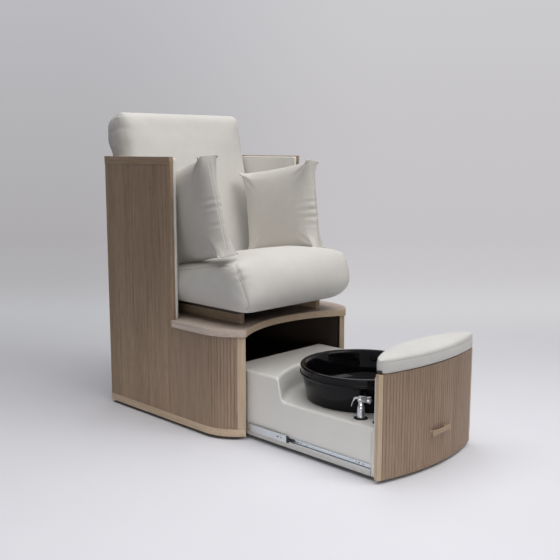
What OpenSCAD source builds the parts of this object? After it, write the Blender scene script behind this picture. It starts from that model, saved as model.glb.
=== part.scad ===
// Pedicure spa chair: a wood cabinet seat with a fluted low front, a pull-out
// foot-basin drawer with a padded footrest, leatherette seat, back and loose cushions.
// Millimetres, +Z up. The origin is on the floor under the middle of the cabinet.
// The seat faces -Y, and the drawer is drawn pulled out, as the chair is used.

/* [Cabinet] */
// Width over the tall side panels
case_w = 685; // [665:1:740]
// Depth from the rear edge to the front corners
case_d = 724; // [700:1:780]
// Height of the tall side panels above the base board
side_h = 988; // [940:1:1040]
// Depth of the tall side panels
side_d = 408; // [380:1:440]
// Thickness of the tall side panels
side_t = 16; // [15:0.5:19]
// Rounding of the front edge of a tall side panel
side_edge_r = 7; // [3:0.5:7]
// Height of the cap band along the top of a side panel
cap_h = 28; // [20:1:40]
// How far the cap band stands out from the panel
cap_proud = 1; // [0.5:0.5:4]
// Height of the low fluted case above the base board
low_h = 364.5; // [355:0.5:400]
// Radius of the curved sides of the low case
side_curve_r = 170; // [150:1:190]
// Width of a front corner beside the drawer opening
corner_reveal = 9; // [6:0.5:12]
// Thickness of the fluted sides
flute_t = 18; // [16:0.5:20]
// Distance from one flute to the next
flute_pitch = 12.5; // [10:0.5:16]
// Width of a flute at the surface
flute_w = 3; // [2:0.5:4]
// Depth of a flute
flute_depth = 2; // [1:0.25:3]
// Width of the plain edge post at each front corner
post_w = 30; // [20:1:40]
// Height of the plain skirt band along the bottom
skirt_h = 27; // [20:1:40]
// How far the skirt band stands out
skirt_proud = 1.5; // [1:0.25:3]
// Thickness of the upright boards beside the drawer
inner_t = 16; // [15:0.5:19]
// Thickness of the rear panel
rear_t = 18; // [15:0.5:20]
// Thickness of the base board
base_t = 9; // [6:0.5:12]
// How far the base board stays inside the sides
base_recess = 8; // [5:1:15]
// Diameter of a floor glide
glide_d = 30; // [20:1:40]
// Height of a floor glide
glide_h = 3; // [2:0.5:6]

/* [Platform and seat frame] */
// Thickness of the platform board
platform_t = 25; // [18:1:30]
// How far the platform stands over the low case
platform_overhang = 5; // [3:0.5:8]
// Radius of the hollow front edge of the platform
platform_scoop_r = 480; // [450:5:560]
// Thickness of the lipping along the hollow front edge
lipping_t = 3; // [2:0.5:5]
// Distance between the two seat rails
rail_gap = 390; // [340:5:420]
// Width of a seat rail
rail_w = 20; // [16:1:30]
// Height of a seat rail
rail_h = 44.5; // [35:0.5:60]
// How far the rails stop behind the front corners
rail_setback = 84; // [75:1:120]
// Width of the seat board
seat_board_w = 500; // [470:5:560]
// Thickness of the seat board
seat_board_t = 12; // [9:0.5:18]
// How far the seat board stops behind the front corners
seat_board_setback = 60; // [40:1:80]

/* [Cushions] */
// Thickness of the arm linings
lining_t = 15; // [10:1:20]
// How far the arm linings stop below the caps
lining_drop = 4; // [2:0.5:10]
// Gap between the seat cushion and the arm linings
seat_side_gap = 6; // [2:0.5:12]
// Height of the crown of the seat cushion above its board
seat_crown_h = 190; // [160:1:210]
// Height of the side edges of the seat cushion above its board, at the front
seat_edge_h = 176; // [150:1:190]
// How far the seat cushion drops from front to back
seat_fall = 58; // [40:1:80]
// How far the seat cushion reaches past the front corners
seat_overhang = 42; // [20:1:60]
// How far the upper front edge of the seat cushion lies behind its nose
seat_nose_slope = 44; // [20:1:60]
// Edge rounding of the seat and back cushions
cushion_r = 40; // [30:1:45]
// Backward lean of the back cushion, degrees
back_lean = 14; // [10:0.5:18]
// Thickness of the back cushion
back_t = 135; // [110:1:150]
// Length of the back cushion along its lean
back_len = 715; // [680:1:760]
// How far the back cushion bulges past the arm linings above them
back_bulge = 5; // [0:1:15]
// How far the back cushion swells to the rear above them
back_swell = 10; // [0:1:14]
// Distance from the rear edge to the foot of the back cushion
back_foot = 121; // [110:1:160]
// Thickness of the back board
back_board_t = 12; // [9:0.5:15]
// Length of the back board along its lean
back_board_len = 540; // [480:5:640]
// Thickness of a back gusset
gusset_t = 18; // [12:1:24]
// Side of a loose cushion
loose_size = 346; // [320:1:380]
// Thickness of a loose cushion in its middle
loose_t = 106; // [90:1:120]
// Thickness of a loose cushion at its boxed corners
loose_box = 80; // [60:1:100]

/* [Drawer] */
// Width of the drawer over its skirts
drawer_w = 492; // [470:1:500]
// How far the drawer pulls out
drawer_travel = 564; // [480:1:570]
// Gap between the drawer and the base board
drawer_float = 1.5; // [1:0.5:4]
// Gap between the closed drawer and the rear panel
drawer_rear_gap = 24; // [18:1:60]
// Thickness of the drawer side boards
drawer_side_t = 16; // [12:1:18]
// Thickness of the drawer bottom
drawer_base_t = 9; // [6:0.5:12]
// Thickness of the board under the lower deck
deck_board_t = 18; // [12:1:20]
// Height of the lower deck above the drawer bottom edge
deck_low_h = 156.5; // [145:0.5:175]
// Height of the raised deck above the drawer bottom edge
deck_high_h = 236.5; // [215:0.5:260]
// Wall of the deck moulding
deck_t = 4; // [3:0.5:6]
// Wall of the skirts of the deck moulding
skirt_t = 3; // [2:0.5:5]
// Radius of the hollow step between the two decks, at the lower deck
scoop_r = 379; // [365:1:420]
// How much wider the hollow step is at the raised deck
scoop_draft = 14; // [6:1:24]
// Distance from the basin centre to the centre of the hollow step
scoop_offset = 136; // [120:1:150]
// Thickness of the straight board behind the front panel
inner_front_t = 15; // [12:1:18]
// Height of the straight board behind the front panel
inner_front_h = 321.5; // [300:0.5:330]

/* [Drawer front] */
// Outer radius of the bowed front panel
front_r = 826; // [780:1:900]
// Thickness of the bowed front panel
front_t = 18; // [16:0.5:20]
// Height of the bowed front panel
front_h = 337.5; // [320:0.5:350]
// How far the front panel stays inside the front corners
front_inset = 5; // [1:0.5:8]
// Gap between the closed front panel and the front corners
front_gap = 4; // [2:0.5:6]
// Width of the plain strip at each end of the front panel
front_strip_w = 16; // [12:1:30]
// Distance between the feet of the handle, centre to centre
handle_span = 80; // [64:1:128]
// Length that the grip runs past each foot
handle_end = 9; // [8:1:14]
// Height of the handle centre above the bottom of the panel
handle_z = 115; // [80:1:200]
// Clear finger gap behind the grip
handle_gap = 11; // [9:0.5:25]
// Thickness of the grip
handle_t = 7; // [6:0.5:10]
// Height of the grip at its ends
handle_end_h = 24; // [18:1:30]
// Height of the grip at its waist
handle_waist_h = 14; // [10:1:18]

/* [Footrest] */
// Half width of the footrest pad
pad_half_w = 258; // [240:1:262]
// Thickness of the footrest pad
pad_t = 45; // [35:1:50]
// Gap between the closed pad and the hollow platform edge
pad_gap = 3; // [2:0.5:8]
// Thickness of the board in the pad
pad_board_t = 12; // [9:0.5:15]
// How far the board stays inside the pad
pad_board_inset = 6; // [4:0.5:10]

/* [Runners] */
// Thickness of a drawer runner
runner_t = 12.7; // [12.5:0.1:14]
// Height of the fixed member of a runner
runner_h = 27; // [26:0.5:32]
// Length of each runner member
runner_len = 600; // [580:5:620]
// Height of the runner centre above the drawer bottom edge
runner_z = 32.5; // [25:0.5:50]
// Distance from the deck front to the front end of the drawer member
runner_setback = 11; // [5:0.5:20]
// How much shorter the middle member is, at its front end
runner_mid_short = 66; // [0:1:120]
// Sheet thickness of the runner members
runner_sheet = 1.2; // [1:0.1:1.5]
// Length of the release lever
lever_len = 72; // [50:1:90]
// Distance from the front end of the drawer member to the pin of the lever
lever_set = 397; // [200:1:500]

/* [Basin and fittings] */
// Outer radius of the basin rim
basin_r = 219; // [205:1:222]
// Height of the basin
basin_h = 119; // [105:1:135]
// Width of the flat rim
basin_rim_w = 23; // [16:1:30]
// Height of the rim band
basin_band_h = 26; // [18:1:34]
// How far the body stays inside the rim band
basin_step = 7; // [4:0.5:12]
// Radius of the foot of the basin
basin_foot_r = 200; // [190:1:205]
// Thickness of the basin floor
basin_floor_t = 12; // [8:0.5:16]
// Inner radius where the wall meets the floor
basin_floor_r = 182; // [170:1:186]
// Rounding between the basin wall and floor
basin_fillet = 36; // [25:1:55]
// Distance from the deck front to the basin centre
basin_set = 246; // [235:1:255]
// Diameter of the waste tail
waste_d = 40; // [32:1:48]
// Diameter of the waste flange
waste_flange_d = 66; // [58:1:74]
// Diameter of a deck grommet
grommet_d = 47; // [40:1:48]
// Distance of the hand shower from the middle of the deck
shower_x = 191; // [185:1:200]
// Distance of the hand shower from the deck front
shower_set = 97; // [90:1:110]
// Distance of the mixer from the middle of the deck
mixer_x = 185; // [175:1:200]
// Distance of the mixer from the deck front
mixer_set = 25; // [25:0.5:32]
// Height of the hand shower above its grommet
shower_h = 74; // [60:1:90]
// Diameter of the hand shower body
shower_d = 26; // [20:1:30]
// Diameter of the hand shower neck
shower_neck_d = 18; // [14:1:20]
// Diameter of the mixer body
mixer_d = 20; // [16:1:22]
// Height of the mixer body
mixer_h = 46; // [35:1:60]

/* [Hidden] */
$fn = 64;

wood = "#9c8873";
wood_light = "#b5a08a";
wood_top = "#bba797";
dark = "#2a2522";
cream = "#e4e0d8";
moulded = "#eceae4";
steel = "#b9bfc4";
chrome = "#cfd3d6";
black = "#16161a";

// Clearance of a seat between rigid pieces
fit = 0.3;
// Clearance around soft pieces
soft_gap = 0.5;
// Overlength of a cutter
cut = 1;

// Heights
case_z = glide_h + base_t;
platform_z = case_z + low_h;
platform_top = platform_z + platform_t;
seat_rail_top = platform_top + rail_h;
seat_z = seat_rail_top + seat_board_t;
side_top = case_z + side_h;

// Cabinet plan
case_hw = case_w / 2;
rear_y = case_d / 2;
front_y = -case_d / 2;
tall_front_y = rear_y - side_d;
rear_inner_y = rear_y - rear_t;
between_hw = case_hw - side_t;
lining_hw = between_hw - lining_t;

// Drawer opening and the curved sides
drawer_hw = drawer_w / 2;
opening_hw = drawer_hw + runner_t + fit;
front_hw = opening_hw + corner_reveal;
curve_x = case_hw - side_curve_r;
curve_y = front_y + sqrt(pow(side_curve_r, 2) - pow(front_hw - curve_x, 2));
curve_end = atan2(curve_y - front_y, front_hw - curve_x);
straight_len = tall_front_y - curve_y;
inner_curve_r = side_curve_r - flute_t;
inner_side_front = curve_y - sqrt(pow(inner_curve_r, 2) - pow(opening_hw + inner_t + fit - curve_x, 2));
post_angle = post_w / side_curve_r * 180 / PI;
flute_end = straight_len + side_curve_r * (curve_end - post_angle) * PI / 180;
panel_flutes = floor((flute_end - flute_w) / flute_pitch);

// Hollow front edge of the platform
platform_front_y = front_y - platform_overhang;
scoop_y = platform_front_y - sqrt(pow(platform_scoop_r, 2) - pow(front_hw, 2));

// Bowed drawer front, drawer closed
front_half_w = front_hw - front_inset;
front_angle = asin(front_half_w / front_r);
front_centre_y = front_y - front_gap + (front_r - front_t) * cos(front_angle);
strip_angle = front_strip_w / front_r * 180 / PI;
flute_angle = flute_pitch / front_r * 180 / PI;
front_flutes = floor((front_angle - strip_angle - flute_w / 2 / front_r * 180 / PI) / flute_angle);
front_apex_y = front_centre_y - front_r;
front_top = case_z + front_h;
pad_z = front_top + fit;
cleat_inset = 15;

// Drawer, closed
drawer_z = case_z + drawer_float;
drawer_rear = rear_inner_y - drawer_rear_gap;
inner_front_y = front_centre_y - sqrt(pow(front_r - front_t, 2) - pow(drawer_hw, 2)) + fit;
deck_front = inner_front_y + inner_front_t;
deck_low = drawer_z + deck_low_h;
deck_high = drawer_z + deck_high_h;
board_hw = drawer_hw - skirt_t;
bay_hw = board_hw - drawer_side_t;
deck_under = deck_low - deck_t;
basin_y = deck_front + basin_set;
scoop_centre_y = basin_y - scoop_offset;
shower_y = deck_front + shower_set;
mixer_y = deck_front + mixer_set;

// Runners
runner_mid_z = drawer_z + runner_z;
member_front = deck_front + runner_setback;
outer_front = inner_side_front + cut;
outer_inside_h = runner_h - 2 * runner_sheet;
mid_h = outer_inside_h - 2 * fit;
race_h = 3.2;
member_h = mid_h - 2 * race_h - 2 * fit;
// Side play between the members, and how far the wider ones stay off the drawer
runner_play = 1;
outer_off = 4;
mid_off = 2.5;
outer_depth = runner_t - outer_off;
mid_x = drawer_hw + runner_t - 2 * runner_sheet - runner_play;
mid_depth = mid_x - drawer_hw - mid_off;
member_depth = mid_x - drawer_hw - runner_sheet - fit - runner_play;
lever_h = 5;
lever_t = 2;
lever_y = member_front + lever_set;
lever_pin_r = 1.5;
lever_eye_r = lever_h / 2 + 1;

// Cushions
seat_half_w = lining_hw - seat_side_gap;
seat_front_y = front_y - seat_overhang;
seat_crown_x = 100;
seat_edge_x = seat_half_w - cushion_r;
seat_edge = seat_z + seat_edge_h;
seat_crown = seat_z + seat_crown_h;
seat_foot_top = seat_z + fit + 2 * cushion_r;
board_front_y = front_y + seat_board_setback;
back_foot_y = rear_y - back_foot;
back_half_w = lining_hw - soft_gap;
back_face_y = back_foot_y - back_t / cos(back_lean);
// The seat cushion from its nose over its ridge to its rear edge
seat_dip = 6;
seat_nose_y = seat_front_y + cushion_r;
seat_ridge_y = seat_nose_y + 3 * seat_nose_slope;
seat_back_y = back_face_y + tan(back_lean) * cushion_r - (cushion_r + soft_gap) / cos(back_lean);
seat_rear_y = seat_rear(seat_crown - seat_fall);
gusset_foot_y = back_foot_y + (back_board_t + 2 * fit) / cos(back_lean);
rear_panel_top = seat_z + (rear_inner_y - gusset_foot_y) / tan(back_lean);
bulge_lift = 8;
bulge_ease = 1;
loose_corner_r = 20;
loose_core = 0.21;
loose_edge = loose_size / 2 - loose_corner_r;
// Lean, roll and turn of the two loose cushions, degrees
left_tilt = [5.6, 12.5, 77.8];
right_tilt = [5.9, 9.8, 81.4];
// Middle of the loose cushions, in from the arm lining and forward of the tall sides
left_in = 60.5;
left_forward = 29.7;
right_in = 80;
right_forward = 2.5;
// From the middle of a loose cushion to its rear foot, as shares of its side
loose_foot = [0.165, 0.325];
// How far a foot sinks beside the ridge of the seat
left_sink = 1.3;
right_sink = 4.4;

// Basin
basin_top = deck_low + basin_h;
basin_floor = deck_low + basin_floor_t;
basin_inner_r = basin_r - basin_rim_w;
basin_body_r = basin_r - basin_step;
band_z = basin_top - basin_band_h;
basin_soft = 3;

// Overflow: a round cover on a short neck, on the far side of the inner wall
overflow_angle = 26;
overflow_drop = 22;
overflow_r = 14;
overflow_t = 3;
overflow_neck_r = 7;
overflow_neck = 2.5;
overflow_out = fit + pow(overflow_r, 2) / (2 * basin_floor_r);

// Waste, its plug and the trap under it
waste_r = waste_d / 2;
waste_flange_t = 2;
waste_seat = 0.2;
waste_top = basin_floor + waste_seat + waste_flange_t;
waste_tail = 24;
waste_foot = deck_under - deck_board_t - waste_tail;
waste_nut_r = waste_r + 5;
waste_nut_t = 10;
plug_r = waste_r - 3.5;
plug_slack = 0.5;
plug_foot = deck_low + 4;
plug_lip_r = waste_r + 2;
plug_lip_t = 3;
plug_dome_r = 11;
waste_bore_r = plug_r - 3;
trap_r = waste_r + 8;
trap_floor = 12;
trap_rise = 40;
trap_z = drawer_z + trap_rise;
trap_foot_r = trap_r - 10;
outlet_z = trap_z + 12;
outlet_r = 14;
outlet_wall = 3;
outlet_len = 120;

// Grommets, hand shower and mixer
hole_slack = 1;
grommet_r = grommet_d / 2;
grommet_lip = 3;
grommet_hole_r = grommet_r - 4;
grommet_top = deck_low + grommet_lip;
tail_len = 24;
shower_tail_r = shower_d / 2 - 2;
shower_head_z = grommet_top + shower_h - shower_d / 2;
shower_neck_h = 37;
shower_neck_z = grommet_top + shower_neck_h;
shower_taper = 5;
shower_head_d = shower_d - 2;
shower_head_len = 44;
shower_rose = 8;
shower_turn = 40;
ear_t = 3;
ear_reach = 8;
trigger_w = 9;
trigger_r = 3;
trigger_drop = 26;
trigger_out = 6;
mixer_cap_h = 12;
mixer_top = grommet_top + mixer_h;
mixer_spindle_r = mixer_d / 2 - 4;
mixer_lever_turn = 45;
mixer_lever_len = 44;
mixer_lever_w = 8;
mixer_lever_t = 5;

// Water connections: hot and cold supply beside the drain
supply_r = 10.4;
drain_r = 16;
connection_gap = 90;
connection_z = 90;
connection_out = 22;
connection_in = 10;
connection_wall = 2.5;
collar_t = 4;
collar_w = 5;

module on_side(s) {
    if (s > 0) children();
    else mirror([1, 0, 0]) children();
}

// Everything in the drawer is laid out closed and drawn pulled out
module pulled_out(share = 1) {
    translate([0, -drawer_travel * share, 0]) children();
}

// A box by its two corners
module block(a, b) {
    translate(a) cube(b - a);
}

// A round bar along Z by its foot
module post(r, z0, z1) {
    translate([0, 0, z0]) cylinder(r = r, h = z1 - z0);
}

// Plan of the low case, grown by d: straight flanks that turn inward in large arcs
module case_plan(d) {
    intersection() {
        union() {
            for (s = [-1, 1])
                translate([s * curve_x, curve_y]) circle(r = side_curve_r + d);
            translate([-case_hw - d, curve_y]) square([case_w + 2 * d, tall_front_y - curve_y]);
            translate([-curve_x, front_y - d]) square([2 * curve_x, curve_y - front_y + d]);
        }
        translate([-case_hw - d, front_y - d]) square([case_w + 2 * d, case_d - side_d + d]);
    }
}

// Curved wall of one low side between two angles
module arc_wall(a0, a1, z0, z1, t) {
    translate([curve_x, curve_y, z0])
        rotate([0, 0, -a1])
            rotate_extrude(angle = a1 - a0)
                translate([side_curve_r - t, 0]) square([t, z1 - z0]);
}

// V-shaped flute cutter, pointing to -X
module flute_cutter(z0, z1) {
    reach = flute_w / 2 * (1 + cut / flute_depth);
    translate([0, 0, z0 - cut])
        linear_extrude(z1 - z0 + 2 * cut)
            polygon([[cut, -reach], [-flute_depth, 0], [cut, reach]]);
}

// Where a flute lies at length s along the outside of a low side
module at_side(s) {
    if (s < straight_len) translate([case_hw, tall_front_y - s, 0]) children();
    else translate([curve_x, curve_y, 0])
        rotate([0, 0, -(s - straight_len) / side_curve_r * 180 / PI])
            translate([side_curve_r, 0, 0]) children();
}

module floor_glides() color(black) {
    glide_x = between_hw - glide_d;
    glide_front = curve_y - glide_d;
    for (p = [[0, 0], [glide_x, rear_inner_y - glide_d], [-glide_x, rear_inner_y - glide_d],
              [glide_x, curve_y], [-glide_x, curve_y], [curve_x, glide_front - glide_d * 2],
              [-curve_x, glide_front - glide_d * 2]])
        translate([p[0], p[1], 0]) cylinder(d = glide_d, h = glide_h);
}

module base_board() color(dark)
    translate([0, 0, glide_h]) linear_extrude(base_t) {
        intersection() {
            case_plan(-base_recess);
            translate([-case_hw, inner_side_front]) square([case_w, case_d]);
        }
        translate([-case_hw + base_recess, tall_front_y])
            square([case_w - 2 * base_recess, side_d - base_recess]);
    }

// One band runs from the rear edge round to the drawer opening
module skirt_band(s) color(wood_light) on_side(s)
    translate([0, 0, case_z]) linear_extrude(skirt_h) difference() {
        union() {
            translate([curve_x, curve_y]) circle(r = side_curve_r + skirt_proud);
            translate([curve_x, curve_y]) square([side_curve_r + skirt_proud, rear_y - curve_y]);
        }
        translate([curve_x, curve_y]) circle(r = side_curve_r - side_t);
        translate([curve_x - case_w, curve_y]) square([case_w + side_curve_r - side_t, case_d]);
        translate([curve_x, curve_y]) rotate(-curve_end) translate([-case_d, -case_d])
            square([2 * case_d, case_d]);
    }

module side_panel(s) color(wood) on_side(s) {
    foot = case_z + skirt_h;
    head = side_top - cap_h;
    difference() {
        block([between_hw, tall_front_y, foot], [case_hw, rear_y, head]);
        translate([case_hw - side_edge_r, tall_front_y + side_edge_r, 0]) difference() {
            translate([0, -side_edge_r - cut, foot - cut])
                cube([side_edge_r + cut, side_edge_r + cut, head - foot + 2 * cut]);
            post(side_edge_r, foot - 2 * cut, head + 2 * cut);
        }
    }
}

module side_cap(s) color(wood) on_side(s) {
    x1 = case_hw + cap_proud;
    y0 = tall_front_y - cap_proud;
    difference() {
        block([between_hw, y0, side_top - cap_h], [x1, rear_y + cap_proud, side_top]);
        translate([x1 - side_edge_r, y0 + side_edge_r, 0]) difference() {
            translate([0, -side_edge_r - cut, side_top - cap_h - cut])
                cube([side_edge_r + cut, side_edge_r + cut, cap_h + 2 * cut]);
            post(side_edge_r, side_top - cap_h - 2 * cut, side_top + 2 * cut);
        }
    }
}

module flute_panel(s) color(wood) on_side(s) {
    foot = case_z + skirt_h;
    difference() {
        union() {
            block([case_hw - flute_t, curve_y, foot], [case_hw, tall_front_y, platform_z]);
            arc_wall(0, curve_end - post_angle, foot, platform_z, flute_t);
        }
        for (i = [1:panel_flutes])
            at_side(i * flute_pitch) flute_cutter(foot, platform_z);
    }
}

module edge_post(s) color(wood_light) on_side(s)
    arc_wall(curve_end - post_angle, curve_end, case_z + skirt_h, platform_z, flute_t);

module inner_side(s) color(dark) on_side(s)
    block([opening_hw, inner_side_front, case_z], [opening_hw + inner_t, rear_inner_y, platform_z]);

module rear_panel() color(wood) difference() {
    block([-between_hw, rear_inner_y, case_z], [between_hw, rear_y, rear_panel_top]);
    for (i = [-1:1])
        connection_at(i) cylinder(r = connection_r(i) + fit, h = 4 * rear_t, center = true);
}

// Plan of the platform, with its hollow front edge at radius r
module platform_plan(r) {
    difference() {
        union() {
            case_plan(platform_overhang);
            translate([-between_hw, tall_front_y - cut])
                square([2 * between_hw, rear_inner_y - tall_front_y + cut]);
        }
        translate([0, scoop_y]) circle(r = r, $fn = 96);
    }
}

module platform_board() color(wood_top)
    translate([0, 0, platform_z]) linear_extrude(platform_t)
        platform_plan(platform_scoop_r + lipping_t);

module platform_lipping() color(wood_light)
    translate([0, 0, platform_z]) linear_extrude(platform_t) intersection() {
        translate([0, scoop_y]) difference() {
            circle(r = platform_scoop_r + lipping_t, $fn = 96);
            circle(r = platform_scoop_r, $fn = 96);
        }
        translate([-case_hw, platform_front_y]) square([case_w, side_curve_r]);
        case_plan(platform_overhang);
    }

module seat_rails() color(wood_light)
    for (s = [-1, 1]) on_side(s)
        block([rail_gap / 2, front_y + rail_setback, platform_top],
              [rail_gap / 2 + rail_w, rear_inner_y, seat_rail_top]);

module seat_board() color(dark)
    block([-seat_board_w / 2, board_front_y, seat_rail_top],
          [seat_board_w / 2, rear_inner_y, seat_z]);

// A soft ball on each side of the seat
module seat_balls(x, y, top) {
    for (s = [-1, 1])
        translate([s * x, y, top - cushion_r]) sphere(r = cushion_r, $fn = 24);
}

// The top of the seat cushion, by the heights of its side edges and its crown
module seat_top(edge_y, edge, crown_y, crown) {
    seat_balls(seat_edge_x, edge_y, edge);
    seat_balls(seat_crown_x, crown_y, crown);
}

// The rear of the seat cushion leans with the back cushion
function seat_rear(top) = seat_back_y + tan(back_lean) * (top - seat_foot_top);

module seat_cushion() color(cream) hull() {
    slope_y = seat_nose_y + seat_nose_slope;
    edge_rear = seat_edge - seat_fall;
    seat_balls(seat_edge_x, seat_nose_y, seat_foot_top);
    seat_balls(seat_edge_x, seat_back_y, seat_foot_top);
    seat_top(slope_y, seat_edge, slope_y, seat_crown - seat_dip);
    seat_top(seat_ridge_y, seat_edge - seat_dip, seat_ridge_y, seat_crown);
    seat_top(seat_rear(edge_rear), edge_rear, seat_rear_y, seat_crown - seat_fall);
}

// Everything behind the seat leans back about the foot of the back cushion
module leaning() {
    translate([0, back_foot_y, seat_z + fit]) rotate([-back_lean, 0, 0]) children();
}

// Soft corners of the back at height z, its front eased in and its rear swelled
module back_corner(hw, z, ease, swell = 0) {
    for (s = [-1, 1])
        for (y = [cushion_r - back_t + ease, swell - cushion_r])
            translate([s * (hw - cushion_r), y, z]) sphere(r = cushion_r, $fn = 24);
}

// It sits between the arm linings and bulges a little above them
module back_cushion() color(cream) leaning() {
    over_arm = (side_top - seat_z) / cos(back_lean) + cushion_r + bulge_lift;
    hull() {
        back_corner(back_half_w, cushion_r, 0);
        back_corner(back_half_w, over_arm, 0);
    }
    hull() {
        back_corner(back_half_w + back_bulge, over_arm, bulge_ease, back_swell - bulge_ease);
        back_corner(back_half_w + back_bulge, back_len - cushion_r, bulge_ease, -bulge_ease);
    }
}

module back_board() color(dark) leaning()
    block([-back_half_w + lining_t, fit, back_board_t * tan(back_lean)],
          [back_half_w - lining_t, fit + back_board_t, back_board_len]);

module back_gussets() color(dark)
    for (s = [-1, 1])
        translate([s * rail_gap / 2 - gusset_t / 2, 0, 0])
            rotate([90, 0, 90])
                linear_extrude(gusset_t)
                    polygon([[gusset_foot_y, seat_z], [rear_inner_y, seat_z],
                             [rear_inner_y, rear_panel_top]]);

module arm_lining(s) color(cream) on_side(s)
    block([lining_hw, tall_front_y, platform_top],
          [between_hw, rear_inner_y, side_top - lining_drop]);

// A square loose cushion, standing, its faces to -Y and +Y, with boxed corners
module pillow() {
    hull() for (sx = [-1, 1], sz = [-1, 1]) {
        for (sy = [-1, 1])
            translate([sx * loose_edge, sy * (loose_box / 2 - loose_corner_r), sz * loose_edge])
                sphere(r = loose_corner_r, $fn = 16);
        translate([sx, 0, sz] * loose_size * loose_core)
            sphere(r = loose_t / 2, $fn = 28);
    }
}

// Height of the seat top at x, y between the crown and a side edge, behind the ridge
function seat_at(x, y) =
    let(back = (y - seat_ridge_y) / (seat_rear_y - seat_ridge_y),
        out = (x - seat_crown_x) / (seat_edge_x - seat_crown_x),
        crown = seat_crown - seat_fall * back,
        edge = seat_edge - seat_dip - (seat_fall - seat_dip) * back)
    crown + (edge - crown) * out;

// Height of the middle of a loose cushion above its lowest corner
function loose_rise(tilt) =
    loose_edge * (sin(tilt[1]) + cos(tilt[0]) * cos(tilt[1]))
    + (loose_box / 2 - loose_corner_r) * sin(tilt[0]) * cos(tilt[1]) + loose_corner_r;

// A loose cushion in its place, its middle at x, y, standing on the seat with its rear foot
module standing(x, y, tilt, roll, sink) {
    foot = seat_at(x - loose_foot[0] * loose_size, y + loose_foot[1] * loose_size);
    translate([sign(roll) * -x, y, foot + loose_rise(tilt) - sink])
        rotate([-tilt[0], roll, sign(roll) * tilt[2]]) pillow();
}

module cushion_left() color(cream)
    standing(lining_hw - left_in, tall_front_y - left_forward, left_tilt, left_tilt[1], left_sink);

module cushion_right() color(cream)
    standing(lining_hw - right_in, tall_front_y - right_forward, right_tilt, -right_tilt[1], right_sink);

// Channel along Y: a web on its outer or inner side and two flanges, shorter at its front by short
module channel(x0, depth, h, web, flange, y0, outer_web, short = 0) {
    web_x = outer_web ? x0 + depth - web : x0;
    z0 = runner_mid_z - h / 2;
    block([web_x, y0 + short, z0], [web_x + web, y0 + runner_len, z0 + h]);
    for (z = [z0, z0 + h - flange])
        block([x0, y0 + short, z], [x0 + depth, y0 + runner_len, z + flange]);
}

module runner_outer(s) color(steel) on_side(s)
    channel(opening_hw - outer_depth, outer_depth, runner_h, runner_sheet, runner_sheet, outer_front, true);

// The middle member follows the drawer at half its travel
module runner_mid(s) color(steel) pulled_out(0.5) on_side(s)
    channel(mid_x - mid_depth, mid_depth, mid_h, runner_sheet, race_h, outer_front, true, runner_mid_short);

module runner_inner(s) color(steel) pulled_out() on_side(s) {
    channel(drawer_hw, member_depth, member_h, runner_sheet, runner_sheet, member_front, false);
    translate([drawer_hw + runner_sheet, lever_y, runner_mid_z])
        rotate([0, 90, 0]) cylinder(r = lever_pin_r, h = lever_t + runner_sheet);
}

// Black catch on the drawer member, on its pin
module release_lever(s) color(black) pulled_out() on_side(s)
    translate([drawer_hw + runner_sheet + fit, lever_y, runner_mid_z]) difference() {
        rotate([0, 90, 0]) linear_extrude(lever_t) {
            circle(r = lever_eye_r);
            translate([-lever_h / 2, -lever_len]) square([lever_h, lever_len]);
        }
        rotate([0, 90, 0]) cylinder(r = lever_pin_r + fit / 2, h = 4 * lever_t, center = true);
    }

module drawer_side(s) color(dark) pulled_out() on_side(s)
    block([bay_hw, deck_front, drawer_z], [board_hw, drawer_rear - deck_t, deck_under]);

module drawer_base() color(dark) pulled_out()
    block([-bay_hw, deck_front, drawer_z],
          [bay_hw, drawer_rear - deck_t, drawer_z + drawer_base_t]);

module drawer_back() color(dark) pulled_out()
    block([-bay_hw, drawer_rear - deck_t - drawer_side_t, drawer_z + drawer_base_t],
          [bay_hw, drawer_rear - deck_t, deck_under]);

// Board that carries the lower deck and the basin
module deck_board() color(dark) pulled_out() difference() {
    block([-bay_hw, deck_front, deck_under - deck_board_t],
          [bay_hw, drawer_rear - deck_t - drawer_side_t, deck_under]);
    deck_holes(waste_nut_r + hole_slack, grommet_r + hole_slack);
}

// Holes through the lower deck for the waste, the hand shower and the mixer
module deck_holes(waste, fitting) {
    translate([0, basin_y, deck_low]) cylinder(r = waste, h = 4 * deck_board_t, center = true);
    translate([-shower_x, shower_y, deck_low]) cylinder(r = fitting, h = 4 * deck_board_t, center = true);
    translate([-mixer_x, mixer_y, deck_low]) cylinder(r = fitting, h = 4 * deck_board_t, center = true);
}

// The hollow step, grown by d, from z up
module scoop(d, z) {
    slope = scoop_draft / (deck_high - deck_low);
    r0 = scoop_r + d + slope * (z - deck_low);
    rise = deck_high + cut - z;
    translate([0, scoop_centre_y, z]) cylinder(r1 = r0, r2 = r0 + slope * rise, h = rise, $fn = 128);
}

module deck_moulding() color(moulded) pulled_out() difference() {
    block([-drawer_hw, deck_front, drawer_z], [drawer_hw, drawer_rear, deck_high]);
    scoop(0, deck_low);
    difference() {
        block([-board_hw, deck_front - cut, drawer_z - cut],
              [board_hw, drawer_rear - deck_t, deck_high - deck_t]);
        scoop(deck_t, deck_under);
    }
    deck_holes(waste_r + fit, grommet_hole_r + fit);
}

module drawer_inner_front() color(moulded) pulled_out()
    block([-drawer_hw, inner_front_y, drawer_z],
          [drawer_hw, deck_front, drawer_z + inner_front_h]);

// Bowed wall about the arc centre of the drawer front, between two angles
module bowed_wall(a0, a1, t, z0, z1) {
    translate([0, front_centre_y, z0])
        rotate([0, 0, a0 - 90])
            rotate_extrude(angle = a1 - a0, $fn = 128)
                translate([front_r - t, 0]) square([t, z1 - z0]);
}

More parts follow.
